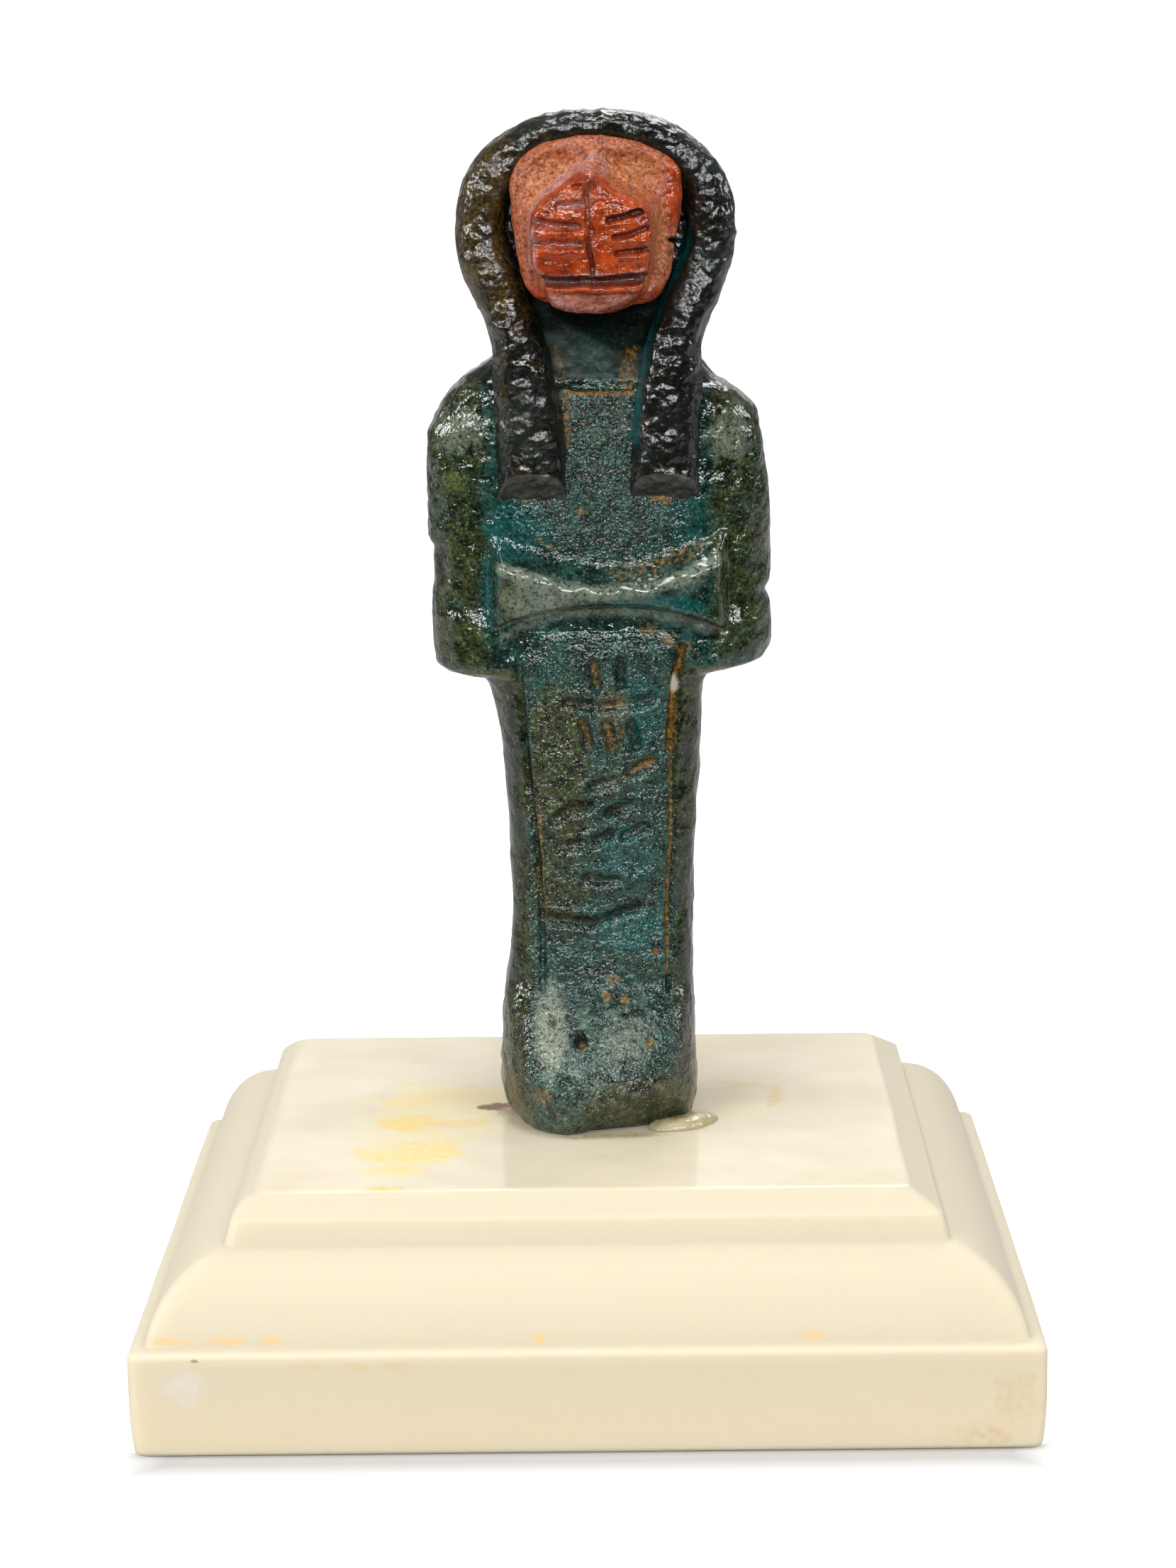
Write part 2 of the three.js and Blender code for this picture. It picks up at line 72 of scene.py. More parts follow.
def plinth_profile():
    """Rows of (inset, left inset, height) from the underside up to the middle of the top: a slab with
    quarter-round edges, a ledge, an ovolo, which is an arc from 15 to 85 degrees, a nearly upright arris,
    a chamfer, which is a quarter round on the left, and the flat top, drawn in to its middle."""
    a = quarter(8)
    foot = WORN_EDGE * (1 - np.sin(a))
    slab_low = grid(foot, foot, WORN_EDGE * (1 - np.cos(a)))
    face = run((0, 0, WORN_EDGE), (0, 0, LOWER_TIER_HEIGHT - WORN_EDGE), steps=26)[1:]
    drawn = WORN_EDGE * (1 - np.cos(a))
    slab_high = grid(drawn, drawn, LOWER_TIER_HEIGHT - WORN_EDGE * (1 - np.sin(a)))
    foot_of_ovolo = LOWER_TIER_HEIGHT + 0.05
    ledge = run((WORN_EDGE, WORN_EDGE, LOWER_TIER_HEIGHT), (LEDGE, LEDGE, foot_of_ovolo), steps=5)[1:]
    arc = np.radians(np.linspace(15, 85, 44))
    inward = (np.cos(arc[0]) - np.cos(arc)) / (np.cos(arc[0]) - np.cos(arc[-1]))
    upward = (np.sin(arc) - np.sin(arc[0])) / (np.sin(arc[-1]) - np.sin(arc[0]))
    inset = LEDGE + (OVOLO_INSET - LEDGE) * inward
    height = foot_of_ovolo + (OVOLO_HEIGHT - foot_of_ovolo) * upward
    ovolo = grid(inset, inset, height)
    low, high = (OVOLO_INSET, OVOLO_INSET, OVOLO_HEIGHT), (ARRIS_INSET, ARRIS_INSET, ARRIS_HEIGHT)
    arris = run(low, high, steps=14)[1:]
    share = np.linspace(0, 1, 20)
    height = ARRIS_HEIGHT + (PLINTH_TOP - ARRIS_HEIGHT) * share
    left = TOP_INSET - np.sqrt(LEFT_ROUND ** 2 - (height - PLINTH_TOP + LEFT_ROUND) ** 2)
    chamfer = grid(ARRIS_INSET + (TOP_INSET - ARRIS_INSET) * share, left, height)
    half = PLINTH_SIDE / 2
    top = run((TOP_INSET, TOP_INSET, PLINTH_TOP), (half - 0.3, half - 0.3, PLINTH_TOP), steps=60)[1:]
    profile = np.concatenate([slab_low, face, slab_high, ledge, ovolo, arris, chamfer, top])
    softened = profile.copy()
    softened[1:-1] = (profile[:-2] + 2 * profile[1:-1] + profile[2:]) / 4
    return softened


def plinth_skin(profile, along_side=44, round_corner=7):
    """Each profile row becomes a square ring with rounded corners: four quarter arcs and straight runs."""
    half = PLINTH_SIDE / 2
    right, left, z = (profile[:, [i]] for i in range(3))
    room = half - np.maximum(right, left)
    radius = np.minimum(CORNER_RADIUS, 0.5 * room)
    corners = []
    for side_x, side_y, start in ((1, -1, -90), (1, 1, 0), (-1, 1, 90), (-1, -1, 180)):
        turn = np.radians(start) + quarter(round_corner)
        reach_x = half - (right if side_x > 0 else left) - radius
        x = side_x * reach_x + radius * np.cos(turn)
        y = side_y * (half - right - radius) + radius * np.sin(turn)
        corners.append(grid(x, y, z))
    share = np.linspace(0, 1, along_side + 2)[1:-1][None, :, None]
    pieces = []
    for here, onward in zip(corners, corners[1:] + corners[:1]):
        pieces += [here, here[:, -1:] * (1 - share) + onward[:, :1] * share]
    ring = np.concatenate(pieces, 1)
    # The slab's upright faces draw in a little towards the underside.
    low = np.clip(1 - ring[..., 2:] / 3.5, 0, 1) ** 2
    ring[..., :2] *= 1 - 0.009 * low
    return ring


def grid(x, y, z):
    """Points from three coordinates, which are spread to one shape."""
    return np.stack(np.broadcast_arrays(x, y, z), -1)


def evenly(parameter, x, y, count):
    """Values of the parameter that cut the curve (x, y) into steps of equal length."""
    walked = np.concatenate([[0], np.cumsum(np.hypot(np.diff(x), np.diff(y)))])
    return np.interp(np.linspace(0, walked[-1], count), walked, parameter)


def lumps(points, size, seed):
    """Smooth random swelling between -1 and 1 with bumps about size apart: random values on a cubic
    lattice, eased from one lattice point to the next along all three axes."""
    table = np.random.default_rng(seed).uniform(-1, 1, (32, 32, 32))
    place = points / size
    cell = np.floor(place).astype(int)
    part = place - cell
    part = part * part * (3 - 2 * part)
    total = 0
    for corner in np.ndindex(2, 2, 2):
        weight = np.where(np.array(corner) == 1, part, 1 - part).prod(axis=-1)
        i, j, k = ((cell[..., axis] + corner[axis]) % 32 for axis in range(3))
        total = total + weight * table[i, j, k]
    return total


def swell(points, height):
    """Moves a grid of closed rings outwards by height: along the cross product of the steps to the
    neighbours round the ring and from ring to ring."""
    around = np.roll(points, -1, 1) - np.roll(points, 1, 1)
    along = np.gradient(points, axis=0)
    normal = np.cross(around, along)
    size = np.linalg.norm(normal, axis=2, keepdims=True)
    normal = normal / np.maximum(size, 1e-9)
    middle = points.mean(axis=1, keepdims=True)
    if (normal * (points - middle)).sum() < 0:
        normal = -normal
    return points + normal * height[..., None]


def closed_mesh(name, rings, **marks):
    """A closed skin through rings of equally many points, given in mm: quads between the rings, a fan of
    triangles to a middle point over the first and the last. Marks are kept as named values per point."""
    count, around = rings.shape[:2]
    ends = np.stack([rings[0].mean(0), rings[-1].mean(0)])
    points = np.concatenate([rings.reshape(-1, 3), ends]) * MM
    i = np.arange(count - 1)[:, None] * around
    j = np.arange(around)[None, :]
    onward = (j + 1) % around
    quads = np.stack([i + j, i + onward, i + around + onward, i + around + j], 2).reshape(-1, 4)
    first = np.full(around, count * around)
    last = (count - 1) * around
    low_fan = np.stack([first, onward[0], j[0]], 1)
    high_fan = np.stack([first + 1, last + j[0], last + onward[0]], 1)
    a, b, c = (points[quads[:, corner]] for corner in (0, 1, 2))
    d = points[quads[:, 3]]
    volume = (np.cross(a, b) * c).sum() + (np.cross(a, c) * d).sum()
    faces = [quads, low_fan, high_fan]
    if volume < 0:
        faces = [group[:, ::-1] for group in faces]
    mesh = bpy.data.meshes.new(name)
    mesh.from_pydata(points.tolist(), [], [face for group in faces for face in group.tolist()])
    mesh.shade_smooth()
    for mark, values in marks.items():
        kept = np.concatenate([values.ravel(), [values[0].mean(), values[-1].mean()]])
        mesh.attributes.new(mark, "FLOAT", "POINT").data.foreach_set("value", kept)
    mesh.validate()
    piece = bpy.data.objects.new(name, mesh)
    bpy.context.scene.collection.objects.link(piece)
    return piece


def hex_colour(code):
    """An sRGB hex value as linear colour: each channel below 0.04 is divided by 12.92, each other one
    has 0.055 added, is divided by 1.055 and raised to the power 2.4."""
    share = np.array([int(code[i:i + 2], 16) for i in (1, 3, 5)]) / 255
    linear = np.where(share <= 0.04045, share / 12.92, ((share + 0.055) / 1.055) ** 2.4)
    return (*linear, 1.0)


def node(tree, kind, inputs=(), out=None, **settings):
    """Adds a shader node with its settings. Its inputs are values, hex colours or other nodes' outputs: a
    list fills the inputs in their order, a dictionary by name. Gives one of the node's outputs."""
    made = tree.nodes.new("ShaderNode" + kind)
    for name, value in settings.items():
        setattr(made, name, value)
    if isinstance(inputs, dict):
        filled = [(made.inputs[name], value) for name, value in inputs.items()]
    else:
        filled = zip([socket for socket in made.inputs if socket.enabled], inputs)
    for socket, value in filled:
        if isinstance(value, bpy.types.NodeSocket):
            tree.links.new(value, socket)
        else:
            socket.default_value = hex_colour(value) if isinstance(value, str) else value
    if out is not None:
        return made.outputs[out]
    return next((socket for socket in made.outputs if socket.enabled), None)


def new_material(name):
    """An empty material. Gives it, its node tree and the piece's own coordinates."""
    material = bpy.data.materials.new(name)
    material.use_nodes = True
    tree = material.node_tree
    tree.nodes.clear()
    return material, tree, node(tree, "TexCoord", out="Object")


def apart(size):
    """Texture scale for a pattern whose features are size mm apart, on coordinates in metres."""
    return 1 / (size * MM)


def tinted(tree, colour, tint, pattern, low, high, most=1.0):
    """A colour that turns to the tint as a pattern goes from low to high, by the share most at the end."""
    share = node(tree, "MapRange", [pattern, low, high, 0, most])
    return node(tree, "Mix", [share, colour, tint], data_type="RGBA")


def polished_ivory():
    """Ivory-like block, cut and polished by hand: to the eye a warm cream with faint level grain, a soft
    low shine, and yellow and ochre stains where adhesive and dirt soaked in."""
    material, tree, here = new_material("polished_ivory_block")
    level = node(tree, "Mapping", {"Vector": here, "Scale": (1, 1, 9)})
    cloud = node(tree, "TexNoise", [here, apart(14), 3])
    grain = node(tree, "TexNoise", [level, apart(5), 3, 0.5])
    colour = tinted(tree, "#dbd1b6", "#dcd0b4", cloud, 0.35, 0.65)
    colour = tinted(tree, colour, "#f4ead6", grain, 0.35, 0.65, 0.35)
    # The sides are a little darker than the top, a painted shade, and the slab's faces warmer, most of all
    # near the underside.
    height = node(tree, "SeparateXYZ", [here], out="Z")
    colour = tinted(tree, colour, "#d2c8b1", height, (PLINTH_TOP - 0.02) * MM, (PLINTH_TOP - 0.12) * MM)
    colour = tinted(tree, colour, "#e2d2b2", height, 6 * MM, 0, 0.75)

    def stain(colour, middle, reach, turn, ragged, tint, strength, mottle=0.4):
        """A soft-edged oval of colour: distance from its middle in units of its reach, ragged by noise."""
        spot = node(tree, "Mapping", {
            "Vector": here, "Location": [v * MM for v in middle], "Rotation": (0, 0, turn),
            "Scale": [v * MM for v in reach],
        }, vector_type="TEXTURE")
        far = node(tree, "VectorMath", [spot], out="Value", operation="LENGTH")
        rag = node(tree, "TexNoise", [here, apart(ragged), 5, 0.7])
        rag = node(tree, "MapRange", [rag, 0.3, 0.7, -0.45, 0.45])
        far = node(tree, "Math", [far, rag], operation="ADD")
        fine = node(tree, "TexNoise", [here, apart(0.5), 3])
        fine = node(tree, "MapRange", [fine, 0.35, 0.65, strength * mottle, strength])
        share = node(tree, "MapRange", [far, 1.0, 0.55])
        share = node(tree, "Math", [share, fine], operation="MULTIPLY")
        return node(tree, "Mix", [share, colour, tint], data_type="RGBA")

    # Adhesive and dirt on the top: place, reach, turn, raggedness, tint and strength.
    for x, y, wide, long, turn, ragged, tint, strength, *mottle in (
        (-8.6, -0.6, 5.4, 8.6, -0.3, 3, "#f0dea2", 0.8), (-9.8, -10.2, 3.4, 3, 0.1, 2.4, "#f5d06a", 0.9),
        (-10.5, -3.6, 2.2, 2.2, 0, 1.6, "#f0cb62", 0.85), (-10.8, -13.9, 2.2, 1.4, 0.1, 1, "#f6d676", 0.8),
        (-11.1, -17.4, 1.4, 0.5, 0, 0.8, "#f0c765", 0.8), (-10.4, 1.6, 2.2, 1.5, 0.3, 1.5, "#f0d48a", 0.7),
        (-7.2, 3.6, 2.8, 1.7, 0.2, 1.5, "#efd08a", 0.7), (-7.4, -3.6, 1.8, 1.2, 0, 1.4, "#e8c070", 0.6),
        (-5.5, 0.1, 1.3, 1.1, -0.3, 1.2, "#7a4a08", 1, 1), (-4.8, -0.9, 0.7, 1.4, 0, 0.5, "#b38a4e", 0.8),
        (1.6, -6.7, 3.4, 0.8, 0.1, 0.6, "#c3a468", 0.8), (8.8, 0.6, 3.2, 4.6, -0.2, 2, "#ecd9ac", 0.6),
        (11.2, 1.6, 0.55, 3, -0.1, 0.6, "#dfbe80", 0.75), (8.9, 5, 2.6, 0.8, -0.4, 0.8, "#dfc189", 0.6),
    ):
        colour = stain(colour, (x, y, PLINTH_TOP), (wide, long, 1), turn, ragged, tint, strength, *mottle)
    # Ochre in the ledge, then spots on the slab's front: place across and up, reach, raggedness and so on.
    for x, reach in ((-22.9, 1.3), (-19.6, 1.2), (-17.2, 0.6), (-2.6, 0.4), (12.4, 0.8)):
        place = (x, -24.0, LOWER_TIER_HEIGHT + 0.45)
        colour = stain(colour, place, (reach, 0.8, 0.28), 0.0, 0.6, "#e7c07c", 0.8)
    for x, z, wide, high, ragged, tint, strength, *mottle in (
        (-14.9, 5.15, 1.1, 0.25, 0.6, "#d3bb8f", 0.6), (-12.6, 5.15, 1.1, 0.25, 0.6, "#d3bb8f", 0.6),
        (-10.3, 5.15, 1.1, 0.25, 0.6, "#d3bb8f", 0.6), (-21.3, 5.55, 0.28, 0.12, 0.3, "#6d5c40", 0.9),
        (-21.9, 4.0, 1.5, 1.2, 1.2, "#d9dee0", 0.4), (23.3, 3.2, 1.5, 1.6, 0.7, "#cfb084", 0.45, 0),
        (21.6, 0.9, 2.2, 0.7, 0.6, "#cfae7e", 0.55, 0),
    ):
        place = (x, -PLINTH_SIDE / 2, z)
        colour = stain(colour, place, (wide, 1, high), 0.0, ragged, tint, strength, *mottle)
    # The top was polished most: it mirrors the foot a little. The moulded sides are duller.
    rough = node(tree, "MapRange", [height, (PLINTH_TOP - 0.3) * MM, (PLINTH_TOP - 0.1) * MM, 0.5, 0.1])
    uneven = node(tree, "TexNoise", [here, apart(3.5), 2])
    bump = node(tree, "Bump", {"Height": uneven, "Strength": 0.5, "Distance": 0.02 * MM})
    shader = node(tree, "BsdfPrincipled", {
        "Base Color": colour, "Roughness": rough, "Normal": bump, "IOR": 1.5, "Specular IOR Level": 0.13,
        "Subsurface Weight": 0.6, "Subsurface Scale": 2.5 * MM, "Subsurface Radius": (1, 0.85, 0.6),
    })
    node(tree, "OutputMaterial", {"Surface": shader})
    return material


rings = plinth_skin(plinth_profile())
rings = swell(rings, 0.03 * lumps(rings, 8, 11) * np.clip(rings[..., 2] / 0.4, 0, 1))
plinth = closed_mesh("carved_plinth", rings)
plinth.data.materials.append(polished_ivory())
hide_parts("plinth")
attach(plinth, "root")

# The body: wrapped legs and foot, folded arms, shoulders and neck in one pressed piece of blue-green glassy
# paste. Its grains show where it wasn't rubbed, the toe is broken, and ochre earth fills its cuts.
FIGURE_X = 1.0
FIGURE_HEIGHT = 58.8
FILM = 0.1
COLLAR = 43.25
TONGUE_BOTTOM, TONGUE_TOP = 47.4, 56.4
BODY_ROWS = 398
FRONT_COLUMNS = 196
BACK_COLUMNS = 54


def through(knots):
    """A smooth curve through (position, value) knots that never swings past a knot: cubic steps whose
    slope at a knot is the harmonic mean of the slopes beside it, or level where they part."""
    at, value = np.array(knots, float).T
    rise = np.diff(value) / np.diff(at)
    slope = np.concatenate([rise[:1], np.zeros(len(at) - 2), rise[-1:]])
    before, after = rise[:-1], rise[1:]
    same = before * after > 0
    slope[1:-1][same] = 2 * (before * after)[same] / (before + after)[same]

    def curve(position):
        p = np.clip(position, at[0], at[-1])
        i = np.clip(np.searchsorted(at, p, side="right") - 1, 0, len(at) - 2)
        width = at[i + 1] - at[i]
        t = (p - at[i]) / width
        ease = t * t * (3 - 2 * t)
        start = t * (1 - t) ** 2 * width * slope[i]
        end = t * t * (t - 1) * width * slope[i + 1]
        return value[i] * (1 - ease) + value[i + 1] * ease + start + end

    return curve


def shoulder(u, power):
    """Height of a round-shouldered section at the share u of its half-width: 1 in the middle, 0 at the
    edge. The power says how square its shoulders are."""
    return (1 - np.minimum(np.abs(u), 1) ** power) ** (1 / power)


def step(low, high, value):
    """0 at low and 1 at high, eased between them and level beyond. Low may be the larger of the two."""
    t = np.clip((value - low) / (high - low), 0, 1)
    return t * t * (3 - 2 * t)


def bell(value, middle, width):
    """1 at the middle, falling away on both sides as e to the minus square of the distance in widths."""
    return np.exp(-((value - middle) / width) ** 2)


def soft_min(a, b, soft):
    """The smaller of two values, with the corner between them rounded over the width soft."""
    near = np.maximum(soft - np.abs(a - b), 0) / soft
    return np.minimum(a, b) - near * near * soft / 4


def soft_max(a, b, soft):
    """The larger of two values, with the corner between them filled over the width soft."""
    return -soft_min(-a, -b, soft)


def away(x, z, line):
    """Distance of every point from a line through the given (x, z) points."""
    points = np.array(line, float)
    nearest = np.full(np.broadcast(x, z).shape, np.inf)
    for (x0, z0), (x1, z1) in zip(points[:-1], points[1:]):
        length = (x1 - x0) ** 2 + (z1 - z0) ** 2
        t = np.clip(((x - x0) * (x1 - x0) + (z - z0) * (z1 - z0)) / length, 0, 1)
        nearest = np.minimum(nearest, np.hypot(x - x0 - t * (x1 - x0), z - z0 - t * (z1 - z0)))
    return nearest


def blot(x, z, middle, reach, soft=0.5):
    """A soft oval: 1 inside, 0 beyond its reach."""
    far = np.hypot((x - middle[0]) / reach[0], (z - middle[1]) / reach[1])
    return step(1 + soft / 2, 1 - soft, far)


def blots(x, z, *rows):
    """The strongest of several blots, each a place, a reach across and up, an amount and perhaps a
    softness."""
    return np.maximum.reduce([
        amount * blot(x, z, (x0, z0), (wide, high), *soft) for x0, z0, wide, high, amount, *soft in rows])


def near(x, z, line, inner, outer):
    """1 up to the distance inner from a line through (x, z) points, fading to 0 at the distance outer."""
    return step(outer, inner, away(x, z, line))


left_edge = through([
    (0, 5), (1.2, 5.95), (2.4, 6.08), (6, 5.9), (12.5, 5.3), (18, 5.4), (22, 5.7), (25.4, 6.25), (26.3, 6.75),
    (26.75, 8.9), (27.3, 9.5), (28.5, 9.62), (36, 9.8), (40.4, 9.75), (41.4, 9.35), (42.6, 8.7), (43.5, 7.8),
    (44.4, 6.4), (45.2, 5.2), (46.4, 4.1), (54.5, 4), (55.8, 3.3), (TONGUE_TOP, 2.4),
])
right_edge = through([
    (0, 5), (1.2, 5.4), (2.4, 5.52), (6, 5.45), (12.5, 5.38), (18, 5.6), (22, 5.85), (25.4, 6.1),
    (26.3, 6.45), (26.75, 8.2), (27.3, 9.6), (28.5, 10), (36, 10), (40.4, 9.5), (41.4, 9.35),
    (42.6, 8.35), (43.5, 6.8), (44.4, 6), (45.2, 5.2), (46.4, 4.3), (54.5, 4.2),
    (55.8, 3.5), (TONGUE_TOP, 2.4),
])
front_reach = through([
    (0, 6.9), (1, 7.35), (2.6, 7.55), (4.6, 7.1), (6.6, 5.5), (7.8, 4.0), (8.3, 3.65), (12, 3.6), (20, 3.8),
    (26, 4), (30, 4.3), (36, 4.6), (40, 4.65), (COLLAR - 0.1, 4.4), (COLLAR + 0.2, 3.9), (46.5, 3.9),
    (47.6, 4.6), (TONGUE_TOP, 4.6),
])
back_reach = through([
    (0, 3.4), (2, 3.8), (10, 3.3), (24, 3.5), (27, 4), (36, 4.4), (42, 4.2), (44.4, 3.4), (46, 1.5),
    (47, 0.8), (TONGUE_TOP, 0.6),
])
front_power = through([(0, 2.6), (5, 2.7), (9, 3.4), (25, 3.4), (28, 3.8), (43, 3.6), (48, 6)])
BACK_POWER = 3


def skin_reach(x, z):
    """How far the body's plain front stands out at (x, z)."""
    left, right = left_edge(z), right_edge(z)
    return front_reach(z) * shoulder((2 * x + left - right) / (left + right), front_power(z))


ARMS_X, ARMS_HALF_WIDTH = 0.5, 6.8


def arms_reach(x, z):
    """The folded arms: a bow-tie band with a ridge along its crest. Planes fall from the crest up to the
    chest, down to the band's lower edge, and steeply below it and at both ends; the least of them counts."""
    u = np.minimum(np.abs(x - ARMS_X) / ARMS_HALF_WIDTH, 1)
    ridge = 6 - 0.35 * (1 - u) - 0.3 * u ** 12
    crest = 31.5 + 2.1 * u ** 1.6
    lower = 30.6 - 1.3 * u ** 2.5
    upper = 33.1 + 1.7 * u ** 1.4
    base = skin_reach(np.clip(x, -6.3, 7.3), upper)
    rise = (ridge - base) / (upper - crest)
    above = ridge - (z - crest) * rise
    face = ridge - (crest - z) * 0.35 / (crest - lower - 0.2)
    below = ridge - 0.35 + (z - lower - 0.25) * 5
    left_end = ridge + (x + 5.45) * 2.2
    right_end = ridge - (x - 6.9) * 3.5
    reach = soft_min(soft_min(above, face, 0.3), below, 0.5)
    return soft_min(reach, soft_min(left_end, right_end, 0.1), 0.7)


def toe_break(x, z):
    """The plane of the broken toe, which leans back towards the sole's right."""
    return 5.545 - 0.45 * x + 1.05 * z


PANEL_LEFT = [(-4.65, 27.3), (-4.2, 20.6), (-3.75, 16.4), (-3.48, 12.2), (-3.5, 8)]
PANEL_RIGHT = [(4.55, 27.5), (4.2, 21), (4.03, 16.3), (3.87, 12.1), (3.87, 8)]
COLLAR_LINE = [(-1.3, COLLAR), (0.4, COLLAR - 0.08), (2, COLLAR)]
STROKES = [
    [(-0.3, 27.3), (-0.1, 26)], [(1.2, 27.4), (1.3, 26.1)], [(-1.8, 25.1), (-0.4, 24.9)],
    [(0.2, 24.8), (1.5, 25)], [(2, 25), (3, 25.3)], [(-1, 23.8), (-0.6, 22.5)], [(0.4, 23.7), (0.8, 22.4)],
    [(1.8, 23.8), (2.2, 22.5)], [(1.7, 20.9), (3, 21.6)], [(-0.5, 20.1), (0.8, 20.4)],
    [(-2.6, 18.2), (-1.7, 18.9), (-0.6, 19)], [(0.5, 18.6), (1.9, 19.1)], [(-2.3, 16.6), (-1.1, 16.7)],
    [(-0.3, 17), (0.6, 17.3)], [(1.4, 17.2), (2.5, 17.7)], [(-0.9, 14.6), (0.9, 14.5)],
    [(-2.9, 12.3), (-0.6, 12), (2.2, 13)],
]
STROKE_WIDTH, STROKE_DEPTH = 0.85, 0.34
# The strokes that hold most earth, by their number, and the other lines that do, with width and amount.
EARTHY_STROKES = (0, 3, 5, 6, 8)
EARTHY_LINES = (
    ([(4.8, 28.3), (4.55, 26.6)], 0.5, 0.6), ([(4.45, 26.2), (4.12, 22.4)], 0.5, 0.75),
    ([(4.14, 22.6), (4.11, 18.8), (3.95, 15.5), (3.85, 12.5), (3.82, 8.9)], 0.24, 0.8),
    ([(-1.3, 43), (2, 42.95)], 0.4, 0.8), ([(1.1, 32.6), (3.5, 33.15), (5.6, 34)], 1.1, 0.4),
    ([(2.7, 29.3), (4.2, 28.7), (5.1, 28.0)], 0.8, 0.4), ([(-1.75, 43), (-1.6, 40)], 0.4, 0.6),
    ([(-3.5, 19), (-3.4, 12)], 0.2, 0.5), ([(-2.2, 45.4), (-2, 43.6)], 0.6, 0.35),
    ([(2.0, 45.2), (1.8, 43.6)], 0.9, 0.5), ([(-3.4, 34.6), (-2.6, 34.1)], 0.25, 0.5),
)
# The worn lower edge of the arms, and the ridge along their crest.
ARCH_EDGE = [(-5.5, 29), (-4.2, 29.6), (-2.6, 30.1), (-0.6, 30.35), (1.5, 30.35), (5.1, 29.9), (7.1, 29.2)]
CREST = [(-5.4, 33.1), (-3.2, 32.2), (-1, 31.65), (0.7, 31.6), (3.1, 31.9), (4.9, 32.4), (6.9, 33.5)]
# Pits in the paste as (x, z, radius, depth): the big one is in the foot.
PITS = [
    (-1.35, 5.69, 0.42, 0.6), (-2.98, 6.58, 0.26, 0.3), (2.79, 7.5, 0.18, 0.25), (1.3, 6.9, 0.2, 0.2),
    (0.2, 7.25, 0.16, 0.2), (2.7, 5.9, 0.16, 0.2), (2.75, 5.44, 0.2, 0.25), (-6.17, 35.76, 0.2, 0.3),
    (-5.68, 36.04, 0.14, 0.2), (-3.04, 33.81, 0.14, 0.2), (-1.06, 36.35, 0.14, 0.15),
    (-4.16, 37.3, 0.26, 0.4), (3.1, 10.2, 0.17, 0.25), (-2.2, 10.8, 0.12, 0.15), (-1.2, 10.1, 0.12, 0.15),
]


def body_grid():
    """Shares u of the half-width along the front and back to the start, and heights z, all at even steps
    along the skin."""
    fine = np.linspace(-1, 1, 4001)
    front_u = evenly(fine, fine * 6, shoulder(fine, 3.4) * 4, FRONT_COLUMNS)
    back_u = evenly(fine, fine * 6, shoulder(fine, BACK_POWER) * 4, BACK_COLUMNS + 2)[-2:0:-1]
    z = np.linspace(FILM, TONGUE_TOP, 8001)
    sideways = np.abs(np.diff(left_edge(z))) + np.abs(np.diff(right_edge(z)))
    outwards = np.abs(np.diff(front_reach(z)))
    # Few rows go to the tongue, which the head hides.
    shown = np.where(z[1:] > TONGUE_BOTTOM, 0.12, 1)
    walked = np.concatenate([[0], np.cumsum((np.diff(z) + 0.6 * sideways + 0.5 * outwards) * shown)])
    rows = np.interp(np.linspace(0, walked[-1], BODY_ROWS), walked, z)
    return front_u, back_u, rows


def body_skin():
    """Rings of the body and how much each point belongs to the front: across from edge to edge by the share
    u, out by the front's reach with the arms added and the toe cut off, and back by a rounder section."""
    front_u, back_u, rows = body_grid()
    z = rows[:, None]
    left, right = left_edge(z), right_edge(z)
    middle, half = (right - left) / 2, (right + left) / 2
    x = middle + front_u * half
    reach = front_reach(z) * shoulder(front_u, front_power(z))
    # Valleys between the upper arms and the chest, and the elbows, which stand proud of the panel below.
    side = np.abs(x - 0.3)
    reach = reach - 0.3 * bell(side, 6.9, 0.6) * step(28, 30, z) * step(38, 35, z)
    elbow = step(4.7, 5.3, side) * step(26.4, 27.2, z) * step(31, 29.5, z) * step(9.5, 8.5, side)
    reach = reach + 0.3 * elbow
    reach = soft_max(reach, arms_reach(x, z), 0.35)
    whole = grid(x, -reach, z)
    facet = toe_break(x, z) + 0.14 * lumps(whole, 0.9, 5) + 0.06 * lumps(whole, 0.35, 6)
    reach = soft_min(reach, facet, 0.12)
    back_x = middle + back_u * half
    back = grid(back_x, back_reach(z) * shoulder(back_u, BACK_POWER), z)
    facing = np.concatenate([step(0, 0.35, reach / front_reach(z)), 0 * back_x], 1)
    return np.concatenate([grid(x, -reach, z), back], 1), facing


def groove(x, z, line, width, depth):
    """A trough along a line: its depth falls off as a parabola to nothing at half its width."""
    return -depth * np.clip(1 - (away(x, z, line) / (width / 2)) ** 2, 0, 1)


